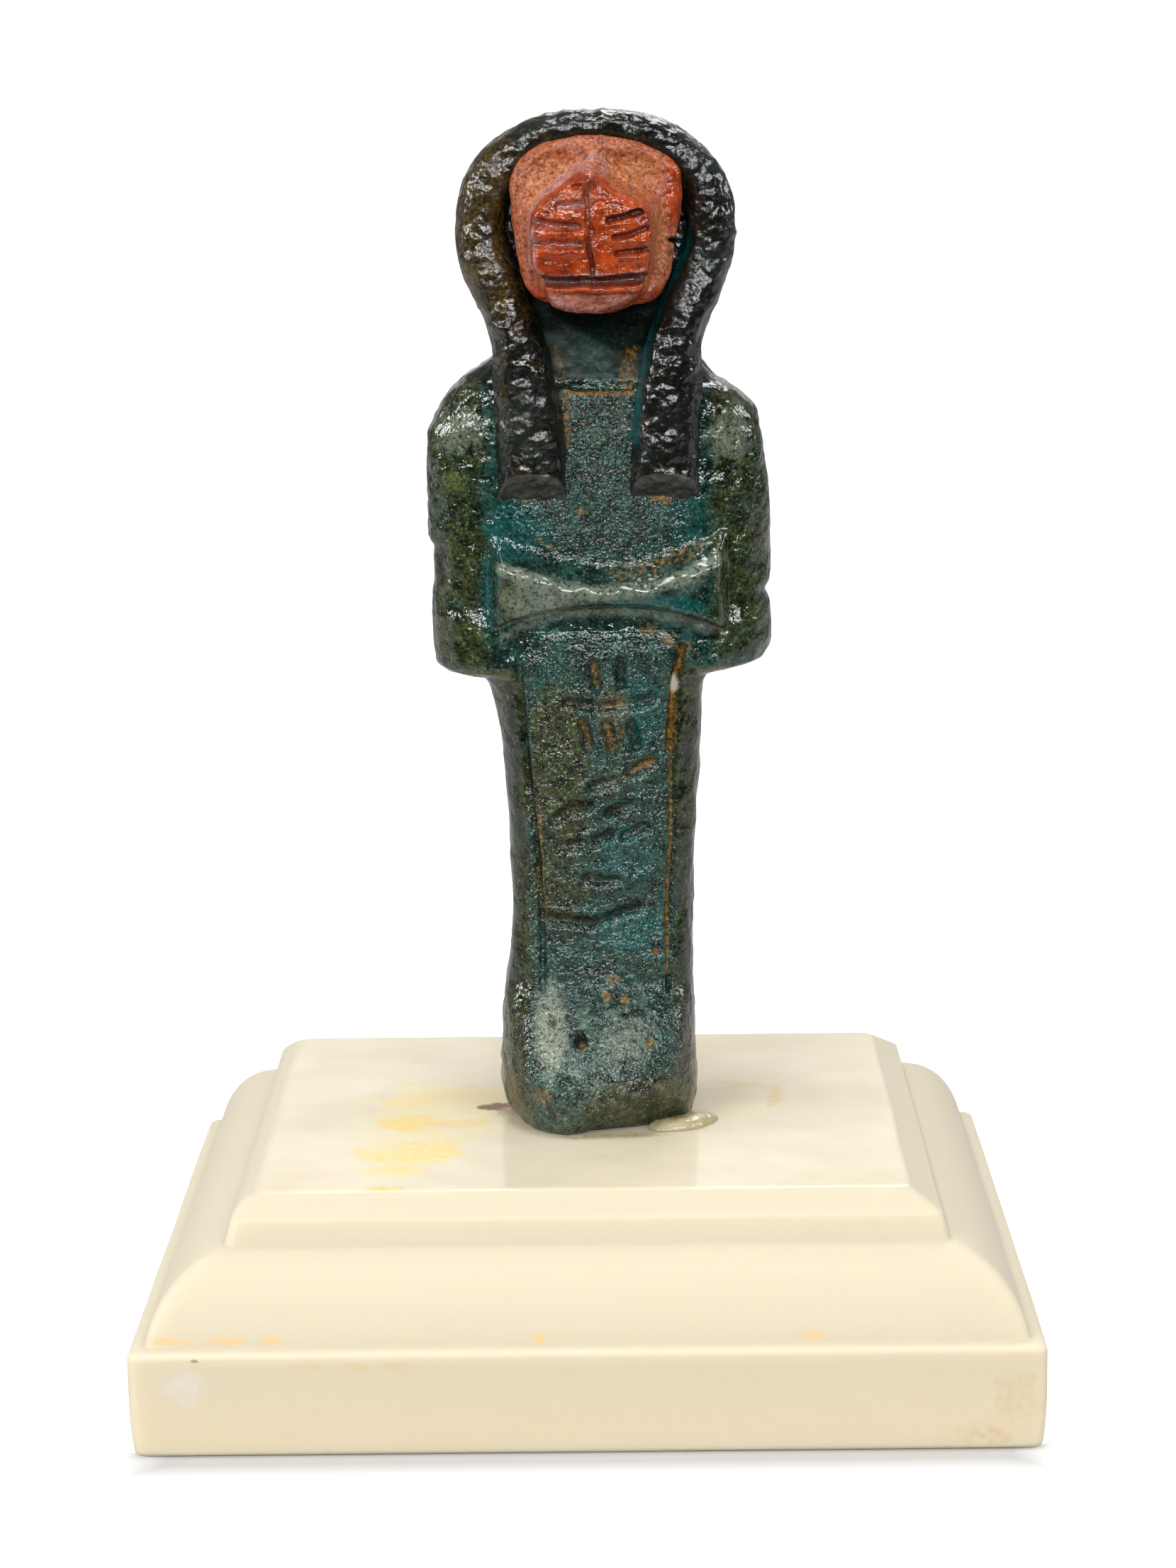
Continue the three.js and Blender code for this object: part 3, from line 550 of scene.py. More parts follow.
def body_relief(points, facing):
    """Height of the finer relief: cut lines and strokes with a slight burr along each, pits, the worn notches
    in the upper arms, and the lumps of the pressed paste in four sizes, strongest on shoulders and foot."""
    x, z = points[..., 0], points[..., 2]
    cuts = groove(x, z, PANEL_LEFT, 0.5, 0.3) + groove(x, z, PANEL_RIGHT, 0.45, 0.3)
    cuts = np.minimum(cuts, groove(x, z, [(4.75, 28.2), (4.5, 26.6), (4.1, 22.4)], 0.75, 0.5))
    cuts = np.minimum(cuts, groove(x, z, COLLAR_LINE, 0.5, 0.4))
    burr = 0
    wander = 0.12 * lumps(points, 0.8, 25)
    for line in STROKES:
        cuts = np.minimum(cuts, groove(x + wander, z + wander, line, STROKE_WIDTH, STROKE_DEPTH))
        burr = np.maximum(burr, 0.1 * bell(away(x, z + 0.2, line), 0.5, 0.2))
    for pit_x, pit_z, radius, depth in PITS:
        far = np.hypot(x - pit_x, z - pit_z) / radius
        cuts = np.minimum(cuts, -depth * np.exp(-far ** 4))
    notch = -0.28 * step(34.5, 33.9, z) * step(30, 33, z) * step(8.2, 9.2, -x)
    notch = notch - 0.3 * bell(z, 31.2, 0.5) * step(9, 9.6, x)
    worn = 0.1 * lumps(points, 2.6, 21) + 0.06 * lumps(points, 1.2, 22)
    worn = worn + 0.18 * facing * bell(away(x, z, CREST), 0, 0.6) * (0.8 + 1.1 * lumps(points, 0.7, 26))
    edge = np.interp(x, *np.array(ARCH_EDGE).T) - z
    under = step(-0.35, 0.6, edge) * step(2.6, 0.5, edge) * step(-5.6, -5, x) * step(7.2, 6.6, x)
    worn = worn - 0.22 * under * facing
    lively = step(36, 40, z) * step(4, 6.5, np.abs(x)) + 0.6 * step(5, 7, np.abs(x)) * step(26, 28, z)
    lively = np.clip(lively + 0.7 * step(8.5, 6, z), 0, 1)
    small = (0.03 + 0.045 * lively) * lumps(points, 0.65, 23) + 0.012 * lumps(points, 0.3, 24)
    return (cuts + burr + notch) * facing + notch * (1 - facing) + worn + small


def body_marks(points, facing, relief):
    """What shows on the paste: ochre earth in cuts and hollows, olive bloom, grey where it was rubbed and as
    painted sheen on the crest, shoulders and foot, clear blue-green, painted shade in the cuts, on the throat
    and neck and along the legs' sides, open grain on the flat of the chest and the panel, and one painted
    glint, a pale speck in a cut."""
    x, z = points[..., 0], points[..., 2]
    across = np.abs(x)
    ochre = blots(
        x, z, (-4.12, 37.1, 0.3, 0.45, 0.9), (3.56, 37.1, 0.7, 0.4, 0.8), (0.4, 41.6, 1.9, 2.2, 0.2),
        (-0.9, 36.2, 0.25, 0.25, 0.9), (3.96, 36.8, 0.3, 0.3, 0.8), (2.75, 5.44, 0.22, 0.22, 1.1),
        (1.3, 7.5, 0.28, 0.25, 1.0), (3.1, 10.2, 0.22, 0.22, 1.1), (-1.25, 5.55, 0.25, 0.22, 0.9),
        (0.2, 7.7, 0.3, 0.3, 0.8), (-3.6, 2.4, 0.8, 0.7, 0.45), (0.6, 8.6, 0.5, 0.3, 0.6),
        (-0.9, 24, 1.4, 2, 0.15), (0.8, 24.2, 1.4, 2.6, 0.32), (0.6, 20.4, 1.4, 1.2, 0.25))
    for number, line in enumerate(STROKES):
        amount = 0.55 if number in EARTHY_STROKES else 0.2
        ochre = np.maximum(ochre, amount * near(x, z, line, 0.0, 0.55))
    for line, width, amount in EARTHY_LINES:
        ochre = np.maximum(ochre, amount * near(x, z, line, 0.1 * width, width))
    moss = np.maximum.reduce([
        0.9 * step(5.6, 7.2, across) * step(26, 28, z), 0.97 * step(3.6, 4.8, across) * step(28, 26, z),
        blots(x, z, (-8.3, 37.9, 1.4, 1.6, 1.25, 0.9), (-2.6, 20.5, 2.2, 7.5, 0.97),
              (-2.5, 14.5, 2.2, 3.2, 0.8), (2.2, 1.6, 4.4, 2.4, 0.9), (-5.2, 5, 0.9, 5, 1.1),
              (-4.9, 31.3, 1.0, 1.8, 0.9)),
        0.7 * (1 - facing),
    ])
    # Grey: rubbed wear, and painted sheen and highlights on the shoulders, the arms' crest and lower edge,
    # and the foot.
    grey_wear_and_sheen = np.maximum.reduce([
        blots(x, z, (-7.7, 40.8, 2.2, 2.0, 0.75, 0.9), (7.6, 40.4, 2.0, 2.4, 0.75, 0.9),
              (-3.1, 6.0, 1.2, 2.8, 1.35, 0.9), (1.4, 5.6, 2.6, 2.2, 0.7, 0.9), (0.4, 40, 2.2, 4, 0.28),
              (-3.4, 31.2, 2.6, 1.6, 0.8), (0.5, 36, 4.5, 3, 0.2)),
        0.6 * near(x, z, ARCH_EDGE, 0.05, 0.6), 0.95 * near(x, z, CREST, 0.1, 0.8),
        0.4 * step(8.2, 7.2, z) * step(4.4, 2.8, across),
    ])
    clear = blots(
        x, z, (-4.6, 35.2, 2.4, 2.2, 0.9), (3.4, 30.9, 3.2, 0.8, 1.1), (1.5, 11.6, 2.6, 1.8, 1),
        (2.4, 24.6, 1.6, 3, 0.9), (-6.6, 31, 0.7, 3.4, 1), (5.2, 36, 1.5, 2.5, 0.7), (0, 45.2, 1.3, 2.5, 1),
        (1.5, 16, 2.2, 2.5, 0.8), (-3.0, 26, 1.2, 1.6, 0.8))
    clear = np.maximum(clear, 0.45) * facing + 0.45 * (1 - facing)
    panel = step(4.6, 4.0, across) * step(29.5, 28.5, z)
    foot = step(8.2, 7, z)
    grain = np.maximum.reduce([blot(x, z, (0.3, 38.5), (5.8, 7)), 0.6 * panel, 0.18 + 0.2 * foot])
    band = step(29.6, 30.4, z) * step(34, 33, z) * step(7, 6, np.abs(x - 0.8))
    grain = grain * (1 - 0.6 * band) * (1 - 0.9 * bell(away(x, z, CREST), 0, 0.45))
    grain = grain * (1 - 0.8 * step(43, 44, z))
    # Painted shadow of the chin on the throat.
    throat_shadow = np.clip((z - 43.4 - 0.6 * np.abs(x - 1.8)) / 1.6, 0, 1) * step(43.8, 44.6, z)
    # Painted shade: in the cuts, the chin's shadow on the throat, the neck under the head, and along the
    # legs' outer sides.
    painted_shade = np.maximum.reduce([
        0.9 * step(0.12, 0.4, -relief), throat_shadow, 0.75 * step(43.2, 43.8, z),
        0.48 * step(3.9, 4.9, across) * step(26, 24, z),
    ])
    # A pale speck in the right-hand cut: a painted glint.
    painted_glint = step(1, 0.7, np.hypot((x - 4.47) / 0.26, (z - 25.87) / 0.55) + 0.2 * lumps(points, 0.3, 27))
    marks = {"ochre": ochre * facing, "moss": moss, "rubbed_and_sheen": grey_wear_and_sheen * facing, "clear": clear}
    return {**marks, "painted_shade": painted_shade * facing, "grain": grain, "painted_glint": painted_glint * facing}


def on_figure(points):
    """Figure coordinates, which start at the plinth's top, as coordinates of the whole object."""
    return points + np.array([FIGURE_X, 0, PLINTH_TOP])


def glassy_paste():
    """Blue-green glass ground and pressed in a mould: to the eye mottled teal and olive grains with small
    bright glints, partly painted as pale grains, rubbed grey on what stands out, partly painted sheen, with
    dull ochre earth in the cuts and painted shade in them, on the throat and on the neck."""
    material, tree, here = new_material("blue_green_glassy_paste")
    ochre, moss, rubbed_and_sheen, clear, painted_shade, grain, painted_glint = (
        node(tree, "Attribute", out="Fac", attribute_name=mark)
        for mark in ("ochre", "moss", "rubbed_and_sheen", "clear", "painted_shade", "grain", "painted_glint"))
    broad = node(tree, "TexNoise", [here, apart(2.4), 5, 0.6])
    mottle = node(tree, "TexNoise", [here, apart(0.75), 5, 0.68])
    ground = node(tree, "TexNoise", [here, apart(0.2), 3, 0.65])
    # Grains of darker and clearer glass are under 0.1 mm wide, and drawn as wide as a render can show.
    colour = tinted(tree, "#0b211d", "#29493e", mottle, 0.4, 0.6)
    olive = tinted(tree, "#171b09", "#434a22", mottle, 0.4, 0.62)
    olive = tinted(tree, olive, "#667038", moss, 1, 1.5)
    # Clear blue-green, olive bloom, and grey that is rubbed wear and partly painted sheen.
    for tint, pattern, weight, mark, low, high, most in (
        ("#12504d", mottle, 1.3, clear, 1.05, 1.6, 0.85), (olive, broad, 1.6, moss, 1.15, 1.65, 0.9),
        ("#818b79", mottle, 1.2, rubbed_and_sheen, 0.95, 1.7, 0.9),
    ):
        pattern = node(tree, "Math", [pattern, weight, mark], operation="MULTIPLY_ADD")
        colour = tinted(tree, colour, tint, pattern, low, high, most)
    colour = tinted(tree, colour, "#060b08", ground, 0.48, 0.36, 0.85)
    # Pale grains, which also stand in as painted glints.
    colour = tinted(tree, colour, "#9aa899", ground, 0.6, 0.68, 0.45)
    # Painted shade in the cuts, on the throat and neck, and along the legs' sides.
    colour = tinted(tree, colour, "#0a0c06", painted_shade, 0, 1, 0.85)
    # Earth sits in the cuts as loose crumbs, and here and there between the grains of the flat parts.
    crumb = node(tree, "TexNoise", [here, apart(0.28), 4, 0.7])
    earth = tinted(tree, "#3a2a10", "#a07832", crumb, 0.38, 0.62)
    share = node(tree, "Math", [crumb, 1.5, ochre], operation="MULTIPLY_ADD")
    share = node(tree, "MapRange", [share, 1.0, 1.6, 0, 0.9])
    colour = node(tree, "Mix", [share, colour, earth], data_type="RGBA")
    loose = node(tree, "MapRange", [crumb, 0.66, 0.7, 0, 0.8])
    loose = node(tree, "Math", [loose, grain], operation="MULTIPLY")
    colour = node(tree, "Mix", [loose, colour, "#a0702c"], data_type="RGBA")
    # The painted glint in the right-hand cut.
    colour = node(tree, "Mix", [painted_glint, colour, "#c9c4b6"], data_type="RGBA")
    rough = node(tree, "MapRange", [broad, 0.35, 0.65, 0.1, 0.17])
    # Where the painted shade is deepest, the paste is also rougher and mirrors less.
    deepest_shade = node(tree, "MapRange", [painted_shade, 0.5, 1])
    dull = node(tree, "Math", [share, deepest_shade], operation="MAXIMUM")
    dull = node(tree, "MapRange", [dull, 0, 1, 0, 0.6])
    rough = node(tree, "Math", [rough, dull], operation="ADD")
    # The flat parts kept the open grain of the ground glass.
    grit = node(tree, "TexNoise", [here, apart(0.18), 1, 0.4])
    grit = node(tree, "Math", [grit, grain], operation="MULTIPLY")
    bump = node(tree, "Bump", {"Height": grit, "Distance": 0.19 * MM})
    knobs = node(tree, "TexNoise", [here, apart(0.65), 1, 0.4])
    knobs = node(tree, "Math", [knobs, node(tree, "MapRange", [grain, 0, 0.2])], operation="MULTIPLY")
    bump = node(tree, "Bump", {"Height": knobs, "Distance": 0.15 * MM, "Normal": bump})
    gloss = node(tree, "MapRange", [deepest_shade, 0, 1, 0.6, 0.05])
    shader = node(tree, "BsdfPrincipled", {
        "Base Color": colour, "Roughness": rough, "Normal": bump, "IOR": 1.52, "Specular IOR Level": gloss,
    })
    node(tree, "OutputMaterial", {"Surface": shader})
    return material


rings, facing = body_skin()
relief = body_relief(rings, facing)
marks = body_marks(rings, facing, relief)
rings = swell(rings, relief)
rings[..., 2] = np.maximum(rings[..., 2], FILM)
body = closed_mesh("mummiform_body", on_figure(rings), **marks)
body.data.materials.append(glassy_paste())
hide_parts("body")
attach(body, "root")

# The wig: one strip of blackish glassy paste laid round the head while soft, its ends cut off on the slant on
# the chest, and a plain cap behind. It is glossy and lumpy, with olive-brown weathering between the lumps.
WIG_X, WIG_Z = 0.1, 51.9
ROLL_OUTER, ROLL_INNER, ROLL_RISE, ROLL_INNER_RISE, ROLL_POWER = 7.92, 5.05, 6.9, 5.1, 2.3
LAPPET_END, LAPPET_FRONT, END_SLANT = 38.5, -6.2, 0.8
BAND_BACK = 1.4
HOOD_BOTTOM, HOOD_TOP, HOOD_FRONT = 41.6, 58.69, -2.8
band_outer = through([
    (34, 5.7), (44, 5.85), (45.6, 5.95), (47.2, 6.4), (48.6, 7.05), (50.4, 7.72), (WIG_Z, ROLL_OUTER),
])
band_inner = through([(34, 1.5), (41, 1.95), (45, 2.68), (49, 3.9), (50.5, 4.6), (WIG_Z, ROLL_INNER)])
band_front = through([(34, 6.2), (45, 6.3), (49, 5.9), (WIG_Z, 5.6), (FIGURE_HEIGHT, 5.5)])
hood_back = through([(HOOD_BOTTOM, 4.95), (44.4, 4.7), (48, 4.5), (54, 3.9), (57, 2), (HOOD_TOP, -2.2)])


def squarish(value, power):
    """Cosine or sine of a superellipse: the sign kept, the size raised to the power 2 / power."""
    return np.sign(value) * np.abs(value) ** (2 / power)


def wig_band(stations=590, around=128):
    """The strip runs up the left lappet, over the head and down the right one. Across it, a share from the
    inner to the outer edge and a depth from back to front follow a squarish oval; the ends are sheared."""
    fine = np.linspace(-1, 2, 6001)
    angle = np.pi * (1 - np.clip(fine, 0, 1))
    low = LAPPET_END + (WIG_Z - LAPPET_END) * np.where(fine < 0, 1 + fine, 2 - fine)
    arch = (fine >= 0) & (fine <= 1)
    side = np.where(fine < 0.5, -1, 1)
    arch_x, arch_z = squarish(np.cos(angle), ROLL_POWER), squarish(np.sin(angle), ROLL_POWER)
    outer_x = np.where(arch, ROLL_OUTER * arch_x, side * band_outer(low))
    outer_z = np.where(arch, WIG_Z + ROLL_RISE * arch_z, low)
    inner_x = np.where(arch, ROLL_INNER * arch_x, side * band_inner(low))
    inner_z = np.where(arch, WIG_Z + ROLL_INNER_RISE * arch_z, low)
    even = evenly(fine, (outer_x + inner_x) / 2, (outer_z + inner_z) / 2, stations)
    outer_x, outer_z, inner_x, inner_z = (
        np.interp(even, fine, edge)[:, None] for edge in (outer_x, outer_z, inner_x, inner_z))
    turn = np.linspace(0, 2 * np.pi, 4001)
    turn = evenly(turn, 2 * squarish(np.cos(turn), 2.6), 2.2 * squarish(np.sin(turn), 2.6), around + 1)[:-1]
    share = (1 + squarish(np.cos(turn), 2.6)) / 2
    half_depth = (band_front(outer_z) - BAND_BACK) / 2
    y = -BAND_BACK - half_depth + half_depth * squarish(np.sin(turn), 2.6)
    x = WIG_X + inner_x + (outer_x - inner_x) * share
    z = inner_z + (outer_z - inner_z) * share
    end = np.clip(1 - (inner_z - LAPPET_END) / 3, 0, 1) ** 2
    return grid(x, y, z + end * END_SLANT * (LAPPET_FRONT - y))


def with_ends(rings, rim, steps=14):
    """Adds flat ends to a stack of rings: over a rounded rim, then drawn in to the end's middle."""
    def end(ring, onward):
        middle = ring.mean(axis=0)
        outward = (ring - onward).mean(axis=0)
        outward = outward / np.linalg.norm(outward)
        radius = np.linalg.norm(ring - middle, axis=1).mean()
        a = quarter(6)[1:]
        drawn_in = np.linspace(1 - rim / radius, 0.08, steps)[1:]
        shrink = np.concatenate([1 - rim * (1 - np.cos(a)) / radius, drawn_in])
        push = np.concatenate([rim * np.sin(a), np.full(steps - 1, rim)])
        return middle + (ring - middle) * shrink[:, None, None] + outward * push[:, None, None]

    return np.concatenate([end(rings[0], rings[1])[::-1], rings, end(rings[-1], rings[-2])])


def hood(levels=150, back_columns=110, front_columns=20):
    """The cap behind: as wide as the strip below the roll's middle, a dome above, rounded at the back."""
    fine = np.linspace(HOOD_BOTTOM, HOOD_TOP, 4001)

    def half(z):
        dome = (ROLL_OUTER - 0.3) * shoulder((z - WIG_Z) / (ROLL_RISE - 0.1), ROLL_POWER)
        return np.where(z <= WIG_Z, band_outer(z) - 0.3, dome)

    z = evenly(fine, half(fine) + hood_back(fine), fine, levels)[:, None]
    u = np.sin(np.linspace(np.pi / 2, -np.pi / 2, back_columns))
    depth = HOOD_FRONT + (hood_back(z) - HOOD_FRONT) * shoulder(u, 2.8)
    back = grid(WIG_X + half(z) * u, depth, z)
    x = WIG_X + half(z) * np.linspace(-1, 1, front_columns + 2)[1:-1]
    flat = grid(x, HOOD_FRONT, z)
    return np.concatenate([back, flat], 1)


def glaze_lumps(points, amount):
    """Lumps of paste that flowed and set: broad swellings, and knobs with creases between them, made by
    folding smooth noise about zero."""
    broad = 0.13 * lumps(points, 2.4, 41)
    knobs = 0.14 * (0.4 - np.abs(lumps(points, 1.05, 42))) + 0.045 * lumps(points, 0.55, 43)
    return amount * (broad + knobs + 0.01 * lumps(points, 0.27, 44))


def black_paste():
    """Glass paste that fired nearly black: to the eye wet-looking lumps with bright glints, a share of them
    painted as pale specks, olive-brown weathering in the hollows, and a dull grey break where the strip was
    cut."""
    material, tree, here = new_material("near_black_glassy_paste")
    cut, teal, weathered = (
        node(tree, "Attribute", out="Fac", attribute_name=mark) for mark in ("cut", "teal", "weathered"))
    broad = node(tree, "TexNoise", [here, apart(2.6), 4, 0.6])
    mottle = node(tree, "TexNoise", [here, apart(0.9), 6, 0.7])
    ground = node(tree, "TexNoise", [here, apart(0.22), 4, 0.7])
    colour = tinted(tree, "#060705", "#191b15", ground, 0.42, 0.62)
    colour = tinted(tree, colour, "#14211a", broad, 0.5, 0.62, 0.6)
    brown = tinted(tree, "#211a08", "#5c4a1a", ground, 0.4, 0.62)
    share = node(tree, "Math", [mottle, 1.5, weathered], operation="MULTIPLY_ADD")
    colour = tinted(tree, colour, brown, share, 1.25, 1.6, 0.9)
    # Pale specks: painted glints.
    colour = tinted(tree, colour, "#948e76", ground, 0.66, 0.74, 0.7)
    broken = tinted(tree, "#171815", "#41423c", mottle, 0.38, 0.62)
    colour = node(tree, "Mix", [cut, colour, broken], data_type="RGBA")
    colour = node(tree, "Mix", [teal, colour, "#0c6068"], data_type="RGBA")
    rough = node(tree, "MapRange", [broad, 0.35, 0.65, 0.2, 0.3])
    dull = node(tree, "MapRange", [cut, 0, 1, 0, 0.25])
    rough = node(tree, "Math", [rough, dull], operation="ADD")
    grit = node(tree, "TexNoise", [here, apart(0.34), 1, 0.35])
    bump = node(tree, "Bump", {"Height": grit, "Distance": 0.08 * MM})
    knobs = node(tree, "TexNoise", [here, apart(0.8), 1, 0.5])
    bump = node(tree, "Bump", {"Height": knobs, "Distance": 0.18 * MM, "Normal": bump})
    shader = node(tree, "BsdfPrincipled", {
        "Base Color": colour, "Roughness": rough, "Normal": bump, "IOR": 1.55, "Specular IOR Level": 0.6,
    })
    node(tree, "OutputMaterial", {"Surface": shader})
    return material


black = black_paste()
band = wig_band()
rings = with_ends(band, 0.25)
added = (len(rings) - len(band)) // 2
cut = np.ones(rings.shape[:2])
cut[added:-added] = 0
x, y, z = (rings[..., axis] for axis in range(3))
rough_break = 0.1 * lumps(rings, 0.5, 45) + 0.05 * lumps(rings, 0.22, 46)
height = np.where(cut > 0, rough_break, glaze_lumps(rings, 1.0))
weathered = np.clip(0.48 + 0.28 * step(44, 50, z) * step(3, 6, -x) - 0.2 * step(2, 5, x), 0, 1)
INNER_EDGE = [(5.0, 52.5), (4.68, 51), (3.6, 48.6), (2.75, 46.2), (2.15, 43), (1.9, 40.5)]
teal = near(x, z, INNER_EDGE, 0.2, 0.75) * step(-6.4, -5.9, y) * (0.7 + 0.4 * lumps(rings, 0.6, 47))
teal = teal * (0.35 + 0.65 * step(-1, 1, x)) * step(53, 51, z)
rings = swell(rings, height)
strip = closed_mesh("wig_band", on_figure(rings), cut=cut, weathered=weathered, teal=np.clip(teal, 0, 1))
strip.data.materials.append(black)
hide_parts("wig")
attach(strip, "root")

rings = hood()
plain = np.zeros(rings.shape[:2])
rings = swell(rings, glaze_lumps(rings, 0.7))
cap = closed_mesh("wig_cap", on_figure(rings), cut=plain, weathered=plain + 0.6, teal=plain)
cap.data.materials.append(black)
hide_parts("wig")
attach(cap, "root")

# The head: one piece of opaque red paste set into the wig. A cushion-like face with rough, sandy eye hollows
# and a strongly projecting muzzle with whisker grooves, rubbed to mauve along its edges, the mauve partly
# painted highlight.
HEAD_MIDDLE = np.array([0.15, 53.0])
HEAD_OUTLINE = [
    (4.97, 54.7), (4.85, 55.5), (4.2, 56.25), (3.0, 56.85), (1.7, 57.25), (0.3, 57.45), (-1.05, 57.38),
    (-2.7, 57.05), (-3.8, 56.4), (-4.5, 55.5), (-4.62, 54.3), (-4.5, 52.5), (-4.3, 50.8), (-3.95, 49.4),
    (-3.3, 48.5), (-2.2, 48.05), (0.3, 47.95), (2.6, 48.05), (3.6, 48.5), (4.2, 49.5), (4.5, 51), (4.7, 52.3),
    (4.92, 53.5),
]
HEAD_BACK, FACE, MUZZLE = -4.75, -6.5, -10.1
MUZZLE_X, MUZZLE_Z = -0.15, 51.4
MUZZLE_FRONT = [
    (3.1, 52.9), (2.75, 53.6), (1.9, 54), (1.1, 54.4), (0.45, 55.05), (-0.2, 55.5), (-0.95, 55.3),
    (-2, 54.6), (-2.9, 53.9), (-3.38, 53.2), (-3.45, 51.8), (-3.38, 50.5), (-3.1, 50.05), (-2.8, 49.7),
    (-2.7, 49.1), (-2.2, 48.2), (-1.3, 47.85), (0.1, 47.78), (1, 47.95), (2, 48.5), (2.6, 49.15),
    (2.75, 49.7), (3.05, 50.25), (3.15, 51.4),
]
MUZZLE_ROOT = [
    (3.9, 53.1), (3.5, 54.3), (2.6, 55.1), (1.6, 55.7), (0.9, 56.3), (0.2, 56.65), (-0.5, 56.4), (-1.9, 55.4),
    (-3.0, 54.4), (-3.65, 53.3), (-3.75, 51.8), (-3.7, 50.4), (-3.4, 49.9), (-3.1, 49.5), (-3, 49),
    (-2.5, 48.1), (-1.4, 47.7), (0.1, 47.6), (1.2, 47.7), (2.3, 48.1), (3, 48.9), (3.2, 49.6), (3.5, 50.3),
    (3.8, 51.6),
]


def closed_curve(points, share):
    """A smooth closed curve through the points: cubic steps whose slope at each point is 0.45 of the way
    from the point before to the point after it."""
    points = np.array(points, float)
    place = share * len(points)
    i = np.floor(place).astype(int)
    t = (place - i)[:, None]
    before, start, end, after = (points[(i + shift) % len(points)] for shift in (-1, 0, 1, 2))
    leave, arrive = 0.45 * (end - before), 0.45 * (after - start)
    return (start + leave * t + (-3 * start + 3 * end - 2 * leave - arrive) * t ** 2
            + (2 * start - 2 * end + leave + arrive) * t ** 3)


def head_outline(angle, grow):
    """The head's outline from the front: its distance from the middle at each angle, moved out by grow."""
    curve = closed_curve(HEAD_OUTLINE, np.arange(720) / 720) - HEAD_MIDDLE
    turn = np.arctan2(curve[:, 1], curve[:, 0])
    far = np.interp(angle, turn, np.hypot(curve[:, 0], curve[:, 1]), period=2 * np.pi) + grow
    return HEAD_MIDDLE + far[:, None] * np.stack([np.cos(angle), np.sin(angle)], 1)


def head_rings(around=324):
    """The head from its back to the tip of the muzzle, as closed outlines at a depth y: the block with
    rounded edges, the face up to the muzzle's root, the muzzle's sides, which bend from root to front, and
    its front, drawn in to the middle. Edges are rounded by averaging each outline with its neighbours."""
    share = np.arange(around) / around
    front = closed_curve(MUZZLE_FRONT, share)
    root = closed_curve(MUZZLE_ROOT, share)
    aim = np.unwrap(np.arctan2(root[:, 1] - HEAD_MIDDLE[1], root[:, 0] - HEAD_MIDDLE[0]))
    rings, depths = [], []

    def add(outline, y):
        rings.append(outline)
        depths.append(y + 0 * share)

    edge = 0.5
    for s in np.linspace(0.1, 0.92, 6):
        outline = head_outline(aim, -edge)
        middle = outline.mean(axis=0)
        add(middle + (outline - middle) * s, HEAD_BACK)
    for a in quarter(5):
        add(head_outline(aim, -edge * (1 - np.sin(a))), HEAD_BACK - edge * (1 - np.cos(a)))
    for y in np.linspace(HEAD_BACK - edge, FACE + edge, 12)[1:-1]:
        add(head_outline(aim, 0), y)
    kept = len(rings)
    for a in quarter(9):
        add(head_outline(aim, -edge * (1 - np.cos(a))), FACE + edge * (1 - np.sin(a)))
    rim = head_outline(aim, -edge)
    for q in np.linspace(0, 1, 50)[1:]:
        add(rim + (root - rim) * q, FACE)
    for q in np.linspace(0, 1, 60)[1:]:
        outline = root + (front - root) * q ** 0.8
        add(outline, FACE + (MUZZLE + 0.2 - FACE) * q ** 1.15)
    middle = np.array([MUZZLE_X, MUZZLE_Z])
    for s in np.linspace(0.985, 0.012, 96):
        add(middle + (front - middle) * s, MUZZLE - 0.12 * (1 - (s / 0.985) ** 2))
    stack = np.concatenate([np.array(rings), np.array(depths)[:, :, None]], 2)
    for _ in range(26):
        stack[kept:-1] = (stack[kept - 1:-2] + 2 * stack[kept:-1] + stack[kept + 1:]) / 4
    return stack[..., [0, 2, 1]]


# Lines on the muzzle as (x, z) points, with the width and depth of the groove that each one is.
WHISKERS = [
    ([(-1.8, 53.68), (-0.6, 53.76)], 0.7, 0.2), ([(-3.3, 52.86), (-2.1, 52.6), (-0.85, 52.62)], 0.62, 0.32),
    ([(-3.3, 51.74), (-1.9, 51.56), (-0.7, 51.7)], 0.62, 0.32),
    ([(0.88, 52.95), (1.64, 53.08), (2.6, 53.3)], 0.46, 0.42),
    ([(1.19, 51.94), (2.06, 52.11), (2.98, 52.5)], 0.46, 0.45),
    ([(1.29, 51.04), (2.16, 51.14), (3.0, 51.4)], 0.46, 0.42),
]
# Ridges that catch the light, as (x, z), their half-widths and their height.
RIDGES = [
    (-1.72, 53.1, 0.55, 0.2, 0.17), (-0.5, 52.2, 0.3, 0.22, 0.15), (-2.4, 52.15, 0.7, 0.22, 0.1),
    (-1.4, 51.2, 1.1, 0.2, 0.08), (1.4, 52.68, 0.8, 0.17, 0.17), (1.7, 51.76, 0.9, 0.17, 0.18),
    (2.0, 50.8, 0.8, 0.18, 0.15), (0.35, 53.6, 0.25, 0.3, 0.12), (-0.45, 55.02, 0.5, 0.3, 0.28),
    (-0.1, 55.1, 0.18, 0.25, 0.12), (0.3, 49.13, 2.2, 0.2, 0.4), (-2, 50.4, 1, 0.3, 0.06),
]
LIP_EDGE = [
    (-3.3, 50.05), (-2.6, 49.86), (-1.7, 49.84), (-0.3, 49.95), (1.2, 49.88), (2, 49.92), (2.75, 50.2),
]
MOUTH = [(-2.75, 49.66), (-1.34, 49.55), (0, 49.58), (1.2, 49.62), (2.85, 49.72)]
PHILTRUM = [(-0.3, 54.5), (-0.22, 52.6), (-0.03, 49.9)]
CHIN_TOP, CHIN_LOW, CHIN_LEAN = 48.95, 47.6, 0.75


